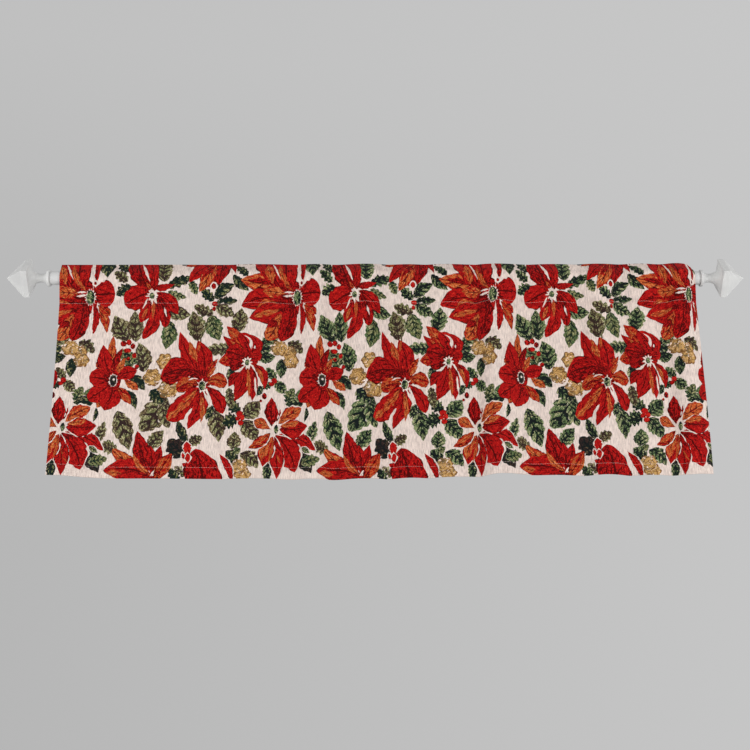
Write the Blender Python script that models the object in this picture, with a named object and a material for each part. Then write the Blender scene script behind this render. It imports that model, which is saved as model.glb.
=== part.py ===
"""A window valance hung on a curtain rod by its pocket, with a pyramid finial on each end of the rod.

Metres, +Z up. The origin is on the rod's axis, halfway between the finials. X runs along the rod, the face
of the valance looks to -Y, and the wall would be on the +Y side.
"""

import math

import bmesh
import bpy
import numpy as np

MM = 0.001

# --- The rod and its finials ---------------------------------------------------------------------------------

ROD_RADIUS = 14 * MM
ROD_SEGMENTS = 40
FIT_GAP = 0.3 * MM  # left between two pieces that meet

COLLAR_X = 665 * MM  # the collar's inner face, which caps the rod's end
COLLAR_THICKNESS = 5.5 * MM
COLLAR_RADIUS = 17.2 * MM
COLLAR_ROUNDING = 0.7 * MM
NECK_LENGTH = 34.5 * MM
NECK_WAIST_AT = 0.34  # the narrowest place, as a share of the neck's length from the collar
NECK_WAIST_RADIUS = 8.8 * MM
NECK_COLLAR_RADIUS = 15.6 * MM
NECK_PLATE_RADIUS = 28.2 * MM
PLATE_SIDE = 59 * MM
PLATE_THICKNESS = 12 * MM
PYRAMID_HEIGHT = 38.5 * MM
PLATE_EDGE_ROUNDING = 0.9 * MM
FINIAL_SEGMENTS = 32  # a multiple of 4, so that each side of the plate gets as many
COVE_STEPS = 6

# --- The cloth -----------------------------------------------------------------------------------------------

CLOTH_WIDTH = 1360 * MM  # flat, from side edge to side edge
CLOTH_THICKNESS = 1.6 * MM
LEFT_EDGE_X = -643 * MM
HEM_DEPTH = 23 * MM
HEM_STEP = 1.0 * MM  # over which the doubled hem thins to a single layer
SEAM_DEPTH = 6 * MM  # the strip over which the pocket's two layers are sewn together
POCKET_RADIUS = ROD_RADIUS + 0.6 * MM  # the pocket's inner face where it lies round the rod
CREST_RADIUS = 1.4 * MM  # inside of the pressed fold along the top

# Heights along the cloth, from the left edge. The pocket's end on the right has sprung open, so its pressed
# fold drops towards the rod there.
HEIGHT_COLUMNS = ("along", "crest", "seam", "hem")
HEIGHTS = (
    (0.000, 0.0290, -0.0550, -0.4130),
    (0.150, 0.0285, -0.0560, -0.4175),
    (0.400, 0.0290, -0.0560, -0.4170),
    (0.630, 0.0290, -0.0560, -0.4185),
    (0.763, 0.0292, -0.0558, -0.4150),
    (0.870, 0.0292, -0.0545, -0.4135),
    (0.925, 0.0292, -0.0535, -0.4100),
    (1.100, 0.0295, -0.0535, -0.4120),
    (1.318, 0.0302, -0.0535, -0.4120),
    (1.342, 0.0290, -0.0535, -0.4105),
    (1.353, 0.0250, -0.0535, -0.4100),
    (1.360, 0.0190, -0.0535, -0.4100),
)

# The cloth stands forward of the rod in soft bays with a crease between each two. "start" is the crease on a
# bay's left, along the flat cloth, "heading" and "foot" are how far the bay stands forward at the pocket and
# at the hem, and "peak" is where it stands furthest, from 0 at its left crease to 1 at its right.
BAY_COLUMNS = ("start", "heading", "foot", "peak")
BAYS = (
    (0.000, 0.006, 0.007, 0.55),
    (0.343, 0.012, 0.010, 0.45),
    (0.484, 0.015, 0.015, 0.50),
    (0.570, 0.020, 0.020, 0.55),
    (0.690, 0.010, 0.009, 0.50),
    (0.767, 0.013, 0.010, 0.45),
    (0.874, 0.022, 0.022, 0.42),
    (0.991, 0.011, 0.008, 0.50),
    (1.092, 0.017, 0.018, 0.50),
    (1.190, 0.013, 0.012, 0.50),
    (1.277, 0.022, 0.013, 0.52),
)
CREASE_SHARPNESS = 1.4  # 1 makes the creases sharp, 2 as round as the bays

# How far the hem kicks forward of the seam.
KICK_COLUMNS = ("along", "forward")
KICKS = (
    (0.000, 0.022),
    (0.110, 0.000),
    (0.343, -0.002),
    (0.513, -0.007),
    (0.763, -0.004),
    (0.923, 0.004),
    (1.243, 0.006),
    (1.360, 0.014),
)
KICK_GROWTH = 2.5  # the power by which the kick grows from the crest to the hem

STATIONS_PER_BAY = (9, 5, 5, 7, 4, 5, 7, 5, 6, 5, 8)
PANEL_ROWS = 8
ROD_ARC_ROWS = 4  # rows of the pocket round the front, and as many round the back, of the rod
FINE_STEPS = 686  # along the width, to measure how much of it the bays take up


def smooth_between(places, rows, columns, name):
    """A column of a table, eased from row to row."""
    column = columns.index(name)
    along = np.array([row[0] for row in rows])
    values = np.array([row[column] for row in rows])
    index = np.clip(np.searchsorted(along, places, side="right") - 1, 0, len(rows) - 2)
    share = np.clip((places - along[index]) / (along[index + 1] - along[index]), 0, 1)
    eased = share * share * (3 - 2 * share)
    return values[index] + (values[index + 1] - values[index]) * eased


def bay_depth(places, level):
    """How far the bays stand forward at level 0, the pocket, to 1, the hem."""
    depth = np.zeros_like(places)
    ends = [bay[0] for bay in BAYS[1:]] + [CLOTH_WIDTH]
    for (start, heading, foot, peak), end in zip(BAYS, ends):
        share = np.clip((places - start) / (end - start), 0, 1)
        turned = share ** (math.log(0.5) / math.log(peak))
        depth += (heading + (foot - heading) * level) * np.sin(math.pi * turned).clip(0) ** CREASE_SHARPNESS
    return depth


def forward_depth(places, level):
    """How far the front of the cloth stands forward of a flat hang."""
    kick = smooth_between(places, KICKS, KICK_COLUMNS, "forward") * level**KICK_GROWTH
    return bay_depth(places, level) + kick


def hung_x(places, level):
    """X of flat places along the cloth. What a bay takes up in depth, it gives up in width."""
    fine = np.linspace(0, CLOTH_WIDTH, FINE_STEPS + 1)
    slope = np.gradient(forward_depth(fine, level), fine).clip(-0.95, 0.95)
    step = np.sqrt(1 - slope * slope)
    run = np.concatenate([[0], np.cumsum((step[1:] + step[:-1]) / 2 * np.diff(fine))])
    return LEFT_EDGE_X + np.interp(places, fine, run)


def pocket_side(crest, seam_top):
    """The pocket's inner face from the seam up to the fold, on the front: (Y, Z, share of the bay's depth)."""
    centre = crest - CLOTH_THICKNESS - CREST_RADIUS
    slant = math.asin((POCKET_RADIUS - CREST_RADIUS) / centre)
    leaves_rod = math.pi / 2 - slant
    meets_rod = math.pi - math.acos(POCKET_RADIUS / -seam_top)
    arc = [meets_rod + (leaves_rod - meets_rod) * k / (ROD_ARC_ROWS - 1) for k in range(ROD_ARC_ROWS)]
    rod_side = [(-POCKET_RADIUS * math.sin(a), POCKET_RADIUS * math.cos(a)) for a in arc]
    fold = (-CREST_RADIUS * math.sin(leaves_rod), centre + CREST_RADIUS * math.cos(leaves_rod))
    below = ((rod_side[0][0]) / 2, (seam_top + rod_side[0][1]) / 2)
    above = ((rod_side[-1][0] + fold[0]) / 2, (rod_side[-1][1] + fold[1]) / 2)
    return [below] + rod_side + [above, fold], (0.0, centre + CREST_RADIUS)


FRONT_SHARES = (1.0,) + (1.0,) * (ROD_ARC_ROWS - 1) + (0.9, 0.65, 0.4)
CREST_SHARE = 0.33
BACK_SHARES = (0.3, 0.0) + (-0.3,) * ROD_ARC_ROWS + (0.1,)


def profile(crest, seam, hem):
    """The inner face from the hem up the front, over the fold and down the back to the seam.

    Each row is (Y, Z, share of the bay's depth).
    """
    seam_low, seam_top = seam - SEAM_DEPTH / 2, seam + SEAM_DEPTH / 2
    hem_top = hem + HEM_DEPTH
    rows = [(0.0, hem, 1.0), (0.0, hem_top, 1.0)]
    for k in range(PANEL_ROWS):
        start = hem_top + HEM_STEP
        rows.append((0.0, start + (seam_low - start) * k / PANEL_ROWS, 1.0))
    rows += [(0.0, seam_low, 1.0), (0.0, seam_top, 1.0)]
    side, top = pocket_side(crest, seam_top)
    rows += [(y, z, share) for (y, z), share in zip(side, FRONT_SHARES)]
    rows.append((*top, CREST_SHARE))
    rows += [(-y, z, share) for (y, z), share in zip(reversed(side), BACK_SHARES)]
    return rows + [(0.0, seam_top, 1.0), (0.0, seam_low, 1.0)]


def stations():
    """Places along the flat cloth, closer together in the narrow bays."""
    ends = [bay[0] for bay in BAYS[1:]] + [CLOTH_WIDTH]
    places = [0.0]
    for (start, *_), end, count in zip(BAYS, ends, STATIONS_PER_BAY):
        places += [start + (end - start) * (k + 1) / count for k in range(count)]
    return np.array(places)


def inner_face():
    """Points of the cloth's inner face, an array of station by profile row by XYZ."""
    places = stations()
    crest, seam, hem = (
        smooth_between(places, HEIGHTS, HEIGHT_COLUMNS, name) for name in ("crest", "seam", "hem")
    )
    sections = np.array([profile(*heights) for heights in zip(crest, seam, hem)])
    top, foot = max(row[1] for row in HEIGHTS), min(row[3] for row in HEIGHTS)
    points = np.empty_like(sections)
    for row in range(sections.shape[1]):
        for k, place in enumerate(places):
            y, z, share = sections[k, row]
            level = (top - z) / (top - foot)
            here = np.array([place])
            points[k, row] = (
                hung_x(here, level)[0],
                y - share * forward_depth(here, level)[0],
                z,
            )
    return points


def outward(points):
    """Unit normals of the inner face, away from the pocket and, on the panel, towards the front."""
    along_x = np.gradient(points, axis=0)
    along_profile = np.gradient(points, axis=1)
    normals = np.cross(along_x, along_profile)
    return normals / np.linalg.norm(normals, axis=2, keepdims=True)


def object_from(name, mesh, material):
    mesh.materials.append(material)
    thing = bpy.data.objects.new(name, mesh)
    bpy.context.scene.collection.objects.link(thing)
    return thing


def finish_mesh(bm, name):
    bmesh.ops.recalc_face_normals(bm, faces=bm.faces[:])
    mesh = bpy.data.meshes.new(name)
    bm.to_mesh(mesh)
    bm.free()
    return mesh


def valance_panel(material):
    """The cloth as one closed solid: a front panel whose top runs round the rod and is sewn to its back."""
    points = inner_face()
    normals = outward(points)
    outer = points + normals * CLOTH_THICKNESS
    inner = points.copy()
    inner[:, :2] -= normals[:, :2] * CLOTH_THICKNESS  # the hem's second layer
    last = points.shape[1] - 1
    seam_low = 2 + PANEL_ROWS
    same_line = {last: seam_low, last - 1: seam_low + 1}

    bm = bmesh.new()
    outer_verts = [[bm.verts.new(point) for point in station] for station in outer]
    inner_verts = []
    for station in inner:
        line = [None if row in same_line else bm.verts.new(p) for row, p in enumerate(station)]
        for row, twin in same_line.items():
            line[row] = line[twin]
        inner_verts.append(line)

    def strip(a, b):
        for left, right in zip(range(len(a) - 1), range(1, len(a))):
            bm.faces.new((a[left], a[right], b[right], b[left]))

    def row_of(verts, row):
        return [line[row] for line in verts]

    sewn = {seam_low, last - 1}
    for row in range(last):
        strip(row_of(outer_verts, row), row_of(outer_verts, row + 1))
        if row not in sewn:
            strip(row_of(inner_verts, row), row_of(inner_verts, row + 1))
        for end in (0, -1):
            bm.faces.new(
                (
                    inner_verts[end][row],
                    inner_verts[end][row + 1],
                    outer_verts[end][row + 1],
                    outer_verts[end][row],
                )
            )
    strip(row_of(inner_verts, 0), row_of(outer_verts, 0))
    strip(row_of(inner_verts, last), row_of(outer_verts, last))
    mesh = finish_mesh(bm, "valance_panel")
    mesh.shade_smooth()
    mesh.set_sharp_from_angle(angle=math.radians(50))
    return object_from("valance_panel", mesh, material)


def ring(bm, x, radius, segments):
    """Points round the X axis, the first of them towards -Y."""
    angles = [2 * math.pi * k / segments for k in range(segments)]
    return [bm.verts.new((x, -radius * math.cos(a), radius * math.sin(a))) for a in angles]


def join_rings(bm, first, second):
    count = len(first)
    for k in range(count):
        bm.faces.new((first[k], first[(k + 1) % count], second[(k + 1) % count], second[k]))


def curtain_rod(material):
    """The plain round rod, from one finial's collar to the other's."""
    bm = bmesh.new()
    end = COLLAR_X - FIT_GAP
    left = ring(bm, -end, ROD_RADIUS, ROD_SEGMENTS)
    right = ring(bm, end, ROD_RADIUS, ROD_SEGMENTS)
    join_rings(bm, left, right)
    bm.faces.new(left)
    bm.faces.new(right)
    mesh = finish_mesh(bm, "curtain_rod")
    mesh.shade_smooth()
    mesh.set_sharp_from_angle(angle=math.radians(40))
    return object_from("curtain_rod", mesh, material)


def cove(radius_end, steps):
    """(share of the way, radius) from the waist out to radius_end, hollow like a quarter of an ellipse."""
    grown = radius_end - NECK_WAIST_RADIUS
    for k in range(1, steps + 1):
        turn = math.pi / 2 * k / steps
        yield math.sin(turn), NECK_WAIST_RADIUS + grown * (1 - math.cos(turn))


def finial_profile():
    """(distance from the collar's inner face, radius) of the turned collar and neck."""
    neck_start = COLLAR_THICKNESS
    waist = NECK_LENGTH * NECK_WAIST_AT
    rows = [
        (0.0, COLLAR_RADIUS - COLLAR_ROUNDING),
        (COLLAR_ROUNDING, COLLAR_RADIUS),
        (COLLAR_THICKNESS - COLLAR_ROUNDING, COLLAR_RADIUS),
        (neck_start, COLLAR_RADIUS - COLLAR_ROUNDING),
    ]
    inner_cove = [(neck_start + waist * (1 - share), r) for share, r in cove(NECK_COLLAR_RADIUS, COVE_STEPS)]
    rows += [(max(at, neck_start + 0.2 * MM), r) for at, r in reversed(inner_cove)]
    rows.append((neck_start + waist, NECK_WAIST_RADIUS))
    rest = NECK_LENGTH - waist
    rows += [(neck_start + waist + rest * share, r) for share, r in cove(NECK_PLATE_RADIUS, COVE_STEPS)]
    return rows


def finial(name, side, material):
    """Collar, neck, square plate and pyramid, on the end of the rod at side -1 or 1."""
    bm = bmesh.new()
    rings = [ring(bm, side * (COLLAR_X + at), radius, FINIAL_SEGMENTS) for at, radius in finial_profile()]
    bm.faces.new(rings[0])
    for first, second in zip(rings, rings[1:]):
        join_rings(bm, first, second)

    plate_back = COLLAR_X + COLLAR_THICKNESS + NECK_LENGTH
    plate_front = plate_back + PLATE_THICKNESS
    corner = PLATE_SIDE / math.sqrt(2)
    back = ring(bm, side * plate_back, corner, 4)
    front = ring(bm, side * plate_front, corner, 4)
    apex = bm.verts.new((side * (plate_front + PYRAMID_HEIGHT), 0, 0))
    join_rings(bm, back, front)
    for k in range(4):
        bm.faces.new((front[k], front[(k + 1) % 4], apex))

    last, quarter = rings[-1], FINIAL_SEGMENTS // 4
    for k in range(4):
        first_half = range(k * quarter, k * quarter + quarter // 2)
        second_half = range(k * quarter + quarter // 2, (k + 1) * quarter)
        for point in first_half:
            bm.faces.new((back[k], last[point], last[point + 1]))
        middle = last[k * quarter + quarter // 2]
        bm.faces.new((back[k], middle, back[(k + 1) % 4]))
        for point in second_half:
            bm.faces.new((back[(k + 1) % 4], last[point], last[(point + 1) % FINIAL_SEGMENTS]))

    plate_points = set(back + front + [apex])
    edges = [edge for edge in bm.edges if set(edge.verts) <= plate_points]
    bmesh.ops.bevel(
        bm, geom=edges, offset=PLATE_EDGE_ROUNDING, offset_type="OFFSET", segments=2, profile=0.5, affect="EDGES"
    )
    mesh = finish_mesh(bm, name)
    mesh.shade_smooth()
    mesh.set_sharp_from_angle(angle=math.radians(30))
    return object_from(name, mesh, material)


def plain_material(name, colour, roughness):
    material = bpy.data.materials.new(name)
    material.use_nodes = True
    shader = material.node_tree.nodes["Principled BSDF"]
    shader.inputs["Base Color"].default_value = (*colour, 1.0)
    shader.inputs["Roughness"].default_value = roughness
    shader.inputs["Metallic"].default_value = 0.0
    material.diffuse_color = (*colour, 1.0)
    return material


def clear_scene():
    for thing in list(bpy.data.objects):
        bpy.data.objects.remove(thing, do_unlink=True)


def main():
    clear_scene()
    cloth = plain_material("cream_tapestry", (0.72, 0.64, 0.57), 0.9)
    rod_white = plain_material("white_rod", (0.80, 0.80, 0.80), 0.35)
    finial_white = plain_material("white_finial", (0.84, 0.84, 0.84), 0.4)
    valance_panel(cloth)
    curtain_rod(rod_white)
    finial("left_finial", -1, finial_white)
    finial("right_finial", 1, finial_white)


main()
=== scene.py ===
"""Looks for the window valance: the woven cloth with its poinsettia pattern, its sewing, the rod and finials.

Metres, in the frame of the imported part. Places on the flat cloth are in millimetres: "along" from its left
side edge, and "up" from the bottom fold up the front, over the pocket's crest and down its back.
"""

import math
import random

import bpy
import numpy as np
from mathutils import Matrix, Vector
from mathutils.geometry import delaunay_2d_cdt


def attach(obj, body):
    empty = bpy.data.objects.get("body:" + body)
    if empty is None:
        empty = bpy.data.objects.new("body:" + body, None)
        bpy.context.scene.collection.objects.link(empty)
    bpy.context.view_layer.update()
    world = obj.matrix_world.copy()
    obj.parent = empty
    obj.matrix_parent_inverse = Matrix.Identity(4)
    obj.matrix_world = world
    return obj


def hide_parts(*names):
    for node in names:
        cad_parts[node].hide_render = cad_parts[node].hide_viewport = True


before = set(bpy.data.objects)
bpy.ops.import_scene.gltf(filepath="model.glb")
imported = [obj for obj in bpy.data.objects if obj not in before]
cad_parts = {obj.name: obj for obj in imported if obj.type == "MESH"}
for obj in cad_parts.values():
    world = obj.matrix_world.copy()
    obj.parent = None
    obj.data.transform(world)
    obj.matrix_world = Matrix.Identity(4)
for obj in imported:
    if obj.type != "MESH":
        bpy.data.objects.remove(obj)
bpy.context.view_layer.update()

MM = 0.001


def named(columns, row):
    """A table's row as a dictionary with the names of its columns."""
    return dict(zip(columns, row))


def column(rows, columns, name):
    return np.array([row[columns.index(name)] for row in rows])


# --- The cloth as it hangs, from the same sizes as the part's solids ---

CLOTH_WIDTH = 1.360
LEFT_EDGE_X = -0.643
ROD_RADIUS = 0.014
POCKET_RADIUS = ROD_RADIUS + 0.0006
CREST_RADIUS = 0.0014
SOLID_THICKNESS = 0.0016

HEIGHT_COLUMNS = ("along", "crest", "seam", "hem")
HEIGHTS = (
    (0.000, 0.0290, -0.0550, -0.4130),
    (0.150, 0.0285, -0.0560, -0.4175),
    (0.400, 0.0290, -0.0560, -0.4170),
    (0.630, 0.0290, -0.0560, -0.4185),
    (0.763, 0.0292, -0.0558, -0.4150),
    (0.870, 0.0292, -0.0545, -0.4135),
    (0.925, 0.0292, -0.0535, -0.4100),
    (1.100, 0.0295, -0.0535, -0.4120),
    (1.318, 0.0302, -0.0535, -0.4120),
    (1.342, 0.0290, -0.0535, -0.4105),
    (1.353, 0.0250, -0.0535, -0.4100),
    (1.360, 0.0190, -0.0535, -0.4100),
)

BAY_COLUMNS = ("start", "heading", "foot", "peak")
BAYS = (
    (0.000, 0.006, 0.007, 0.55),
    (0.343, 0.012, 0.010, 0.45),
    (0.484, 0.015, 0.015, 0.50),
    (0.570, 0.020, 0.020, 0.55),
    (0.690, 0.010, 0.009, 0.50),
    (0.767, 0.013, 0.010, 0.45),
    (0.874, 0.022, 0.022, 0.42),
    (0.991, 0.011, 0.008, 0.50),
    (1.092, 0.017, 0.018, 0.50),
    (1.190, 0.013, 0.012, 0.50),
    (1.277, 0.022, 0.013, 0.52),
)
CREASE_SHARPNESS = 1.4

KICK_COLUMNS = ("along", "forward")
KICKS = (
    (0.000, 0.022),
    (0.110, 0.000),
    (0.343, -0.002),
    (0.513, -0.007),
    (0.763, -0.004),
    (0.923, 0.004),
    (1.243, 0.006),
    (1.360, 0.014),
)
KICK_GROWTH = 2.5

# How far round the pocket (0 at the seam in front, 1 at the crest, 2 at the seam behind) the bays' depth
# counts in which share.
SHARE_COLUMNS = ("round", "share")
SHARES = (
    (0.00, 1.00),
    (0.72, 0.95),
    (0.85, 0.65),
    (1.00, 0.33),
    (1.16, 0.00),
    (1.28, -0.30),
    (1.41, -0.30),
    (1.70, 0.10),
    (2.00, 1.00),
)

# --- The sheet itself, in millimetres along it ---

CLOTH_THICKNESS = 0.0012
LAYER_GAP = 0.0003  # from the middle of a doubled place to the sheet's inner face
MIDDLE = LAYER_GAP + CLOTH_THICKNESS / 2
HEM_TURN = 25.0  # turned up behind
HEM_STITCH = 22.5
SEAM_UP = 360.0
CREST_UP = 450.0
SEAM_BEHIND = 540.0
TAIL_END = 550.0  # the pocket's back layer ends below its seam
HALF_FOLD = MIDDLE * math.pi / 2 / MM  # the hem's fold, from its lowest point to where the panel starts
WIDTH_MM = CLOTH_WIDTH / MM
EASE_OUT_OF_SEAM = 0.010
TOP_Z = column(HEIGHTS, HEIGHT_COLUMNS, "crest").max()
FOOT_Z = column(HEIGHTS, HEIGHT_COLUMNS, "hem").min()

FINE_STEPS = 686
LEVEL_STEPS = 20
STEEPEST = 0.95  # sine of the steepest turn that the cloth's run allows for


def eased(share):
    return share * share * (3 - 2 * share)


def smooth_between(places, rows, columns, name):
    """A column of a table, eased from row to row."""
    along, values = column(rows, columns, "along"), column(rows, columns, name)
    index = np.clip(np.searchsorted(along, places, side="right") - 1, 0, len(rows) - 2)
    share = np.clip((places - along[index]) / (along[index + 1] - along[index]), 0, 1)
    return values[index] + (values[index + 1] - values[index]) * eased(share)


def bay_depth(places, level):
    """How far the bays stand forward at level 0, the crest, to 1, the hem."""
    depth = np.zeros_like(places)
    ends = [*column(BAYS, BAY_COLUMNS, "start")[1:], CLOTH_WIDTH]
    for (start, heading, foot, peak), end in zip(BAYS, ends):
        share = np.clip((places - start) / (end - start), 0, 1)
        turned = share ** (math.log(0.5) / math.log(peak))
        bay = np.sin(math.pi * turned).clip(0) ** CREASE_SHARPNESS
        depth = depth + (heading + (foot - heading) * level) * bay
    return depth


def forward_depth(places, level):
    """How far the front of the cloth stands forward of a flat hang."""
    kick = smooth_between(places, KICKS, KICK_COLUMNS, "forward") * level**KICK_GROWTH
    return bay_depth(places, level) + kick


def hung_run(level):
    """How far along X the cloth has come at even places along it, less than flat where bays take it up."""
    fine = np.linspace(0, CLOTH_WIDTH, FINE_STEPS + 1)
    slope = np.gradient(forward_depth(fine, level), fine).clip(-STEEPEST, STEEPEST)
    step = np.sqrt(1 - slope * slope)
    return np.concatenate([[0], np.cumsum((step[1:] + step[:-1]) / 2 * np.diff(fine))])


RUNS = np.array([hung_run(k / LEVEL_STEPS) for k in range(LEVEL_STEPS + 1)])


def table_place(value, top, steps):
    """Index and share between two neighbours for values from 0 to top on an even table."""
    scaled = np.clip(value / top, 0, 1) * steps
    index = np.minimum(scaled.astype(int), steps - 1)
    return index, scaled - index


def hung_x(places, level):
    across, part = table_place(places, CLOTH_WIDTH, FINE_STEPS)
    down, share = table_place(level, 1, LEVEL_STEPS)
    upper = RUNS[down, across] * (1 - part) + RUNS[down, across + 1] * part
    lower = RUNS[down + 1, across] * (1 - part) + RUNS[down + 1, across + 1] * part
    outside = places - np.clip(places, 0, CLOTH_WIDTH)
    return LEFT_EDGE_X + upper * (1 - share) + lower * share + outside


def pocket_section(way, crest, seam):
    """The pocket's inner face from seam (way 0) to crest (1): (forward, Z, angle of the normal from +Z).

    It runs straight from the seam to the rod, round the rod, straight up from it and over the crest's fold.
    """
    centre = crest - SOLID_THICKNESS - CREST_RADIUS
    slant = np.arcsin(np.clip((POCKET_RADIUS - CREST_RADIUS) / centre, -1, 1))
    leaves = math.pi / 2 - slant
    meets = math.pi - np.arccos(POCKET_RADIUS / -seam)
    lengths = (
        np.sqrt(seam**2 - POCKET_RADIUS**2),
        (meets - leaves) * (POCKET_RADIUS + MIDDLE),
        centre * np.cos(slant),
        leaves * (CREST_RADIUS + MIDDLE),
    )
    gone = way * sum(lengths)
    shares = []
    for length in lengths:
        shares.append(np.clip(gone / length, 0, 1))
        gone = gone - length
    below, rod_arc, above, fold = shares
    rod_angle = meets - (meets - leaves) * rod_arc
    fold_angle = leaves * (1 - fold)
    normal = np.where(fold > 0, fold_angle, rod_angle)
    leaving = np.clip(1 - below * lengths[0] / EASE_OUT_OF_SEAM, 0, 1)
    normal = normal + (math.pi / 2 - meets) * eased(leaving)
    on_rod = (POCKET_RADIUS * np.sin(rod_angle), POCKET_RADIUS * np.cos(rod_angle))
    on_fold = (CREST_RADIUS * np.sin(fold_angle), centre + CREST_RADIUS * np.cos(fold_angle))
    forward = on_rod[0] * below
    height = seam + (on_rod[1] - seam) * below
    forward = forward + (on_fold[0] - on_rod[0]) * above
    height = height + (on_fold[1] - on_rod[1]) * above
    return forward, height, normal


def sheet_middle(along, up):
    """The middle of the sheet's thickness at flat places in millimetres, as an array of XYZ in metres."""
    places = along * MM
    crest, seam, hem = (
        smooth_between(np.clip(places, 0, CLOTH_WIDTH), HEIGHTS, HEIGHT_COLUMNS, name)
        for name in ("crest", "seam", "hem")
    )
    behind = (up < 0) | (up > CREST_UP)
    side = np.where(behind, -1.0, 1.0)

    rising = np.clip((up - SEAM_UP) / (CREST_UP - SEAM_UP), 0, 2)
    way = np.where(rising > 1, 2 - rising, rising)
    forward, height, normal = pocket_section(way, crest, seam)
    share = np.interp(rising, column(SHARES, SHARE_COLUMNS, "round"), column(SHARES, SHARE_COLUMNS, "share"))

    fold_z = hem + MIDDLE + CLOTH_THICKNESS / 2
    above_fold = np.where(up > SEAM_BEHIND, SEAM_UP - (up - SEAM_BEHIND), np.abs(up)) - HALF_FOLD
    scale = (seam - fold_z) / (SEAM_UP - HALF_FOLD)
    flat = (up < SEAM_UP) | (up > SEAM_BEHIND)
    height = np.where(flat, fold_z + np.maximum(above_fold, 0) * scale, height)
    forward = np.where(flat, 0.0, forward)
    turn = np.clip(np.abs(up) / HALF_FOLD, 0, 1) * math.pi / 2
    normal = np.where(flat, math.pi - turn, normal)

    forward = side * (forward + MIDDLE * np.sin(normal))
    height = height + MIDDLE * np.cos(normal)
    level = np.clip((TOP_Z - height) / (TOP_Z - FOOT_Z), 0, 1)
    inside = np.clip(places, 0, CLOTH_WIDTH)
    depth = forward_depth(inside, level)
    return np.stack([hung_x(places, level), -forward - share * depth, height], axis=-1)


NORMAL_STEP = 0.05  # millimetres, to measure the surface's slope


def sheet_normal(along, up):
    """Unit normals of the sheet, out of its right side."""
    across = sheet_middle(along + NORMAL_STEP, up) - sheet_middle(along - NORMAL_STEP, up)
    rising = sheet_middle(along, up + NORMAL_STEP) - sheet_middle(along, up - NORMAL_STEP)
    normal = np.cross(across, rising)
    return normal / np.linalg.norm(normal, axis=-1, keepdims=True)


def sheet_point(along, up, lift):
    """A place on the sheet, lifted by metres from its middle along the normal."""
    return sheet_middle(along, up) + sheet_normal(along, up) * np.reshape(lift, (-1, 1))


# --- Small relief: what the sewing draws in, and the cloth's own unevenness ---

SEAM_LINES = (SEAM_UP, HEM_STITCH)
STITCH_DIMPLE = 0.00035
STITCH_DIMPLE_WIDTH = 2.4
PUCKER_HEIGHT = 0.00040
PUCKER_REACH = 13.0
# Waves along the cloth that add up to an uneven pucker or ripple: length in mm, share of the height, phase.
PUCKER_WAVES = ((31.0, 0.5, 0.3), (17.0, 0.3, 1.9), (47.0, 0.4, 4.1))
RIPPLE_HEIGHT = 0.0007
RIPPLE_WAVES = ((83.0, 0.5, 0.7), (139.0, 0.6, 2.6), (57.0, 0.3, 5.0))
RIPPLE_LEAN = 0.22  # the ripples lean as they go down
RIPPLE_FADE = 60.0  # they die away over this much by the fold and by the pocket's seam
FLAT_UP = CREST_UP - 20.0  # from here on the cloth has no relief


def waves(places, rows):
    return sum(share * np.sin(2 * math.pi * places / length + phase) for length, share, phase in rows)


def relief(along, up):
    """Metres that the right side stands out or in at a place."""
    height = RIPPLE_HEIGHT * waves(along + RIPPLE_LEAN * up, RIPPLE_WAVES) * np.clip(up / RIPPLE_FADE, 0, 1)
    height = height * np.clip((SEAM_UP - up) / RIPPLE_FADE, 0, 1)
    for line in SEAM_LINES:
        away = np.abs(up - line)
        height = height - STITCH_DIMPLE * np.exp(-((away / STITCH_DIMPLE_WIDTH) ** 2))
        height = height + PUCKER_HEIGHT * waves(along, PUCKER_WAVES) * np.exp(-away / PUCKER_REACH)
    return np.where((up > -1) & (up < FLAT_UP), height, 0.0)


# --- Yarn colours and how each kind of shape is woven from them ---

SRGB = {
    "cream": (236, 219, 209),
    "cream_shade": (200, 182, 174),
    "red": (168, 18, 18),
    "red_light": (196, 38, 28),
    "red_dark": (78, 6, 6),
    "orange": (188, 88, 42),
    "orange_light": (208, 130, 74),
    "maroon": (84, 16, 16),
    "green": (78, 100, 62),
    "green_light": (118, 134, 90),
    "green_dark": (22, 36, 30),
    "olive": (116, 118, 74),
    "khaki": (172, 166, 126),
    "brown": (104, 88, 62),
    "plum": (50, 36, 34),
    "black": (22, 28, 28),
    "gold": (196, 154, 94),
    "gold_dark": (120, 80, 42),
    "thread": (212, 186, 176),
}


def linear_share(level):
    """An sRGB level from 0 to 255 as a scene-linear share."""
    share = level / 255
    return share / 12.92 if share <= 0.04045 else ((share + 0.055) / 1.055) ** 2.4


def linear(name):
    """A named colour in scene-linear numbers, with its alpha."""
    return (*map(linear_share, SRGB[name]), 1.0)


YARNS = ("dark", "middle", "light", "fleck_yarn")
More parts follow.
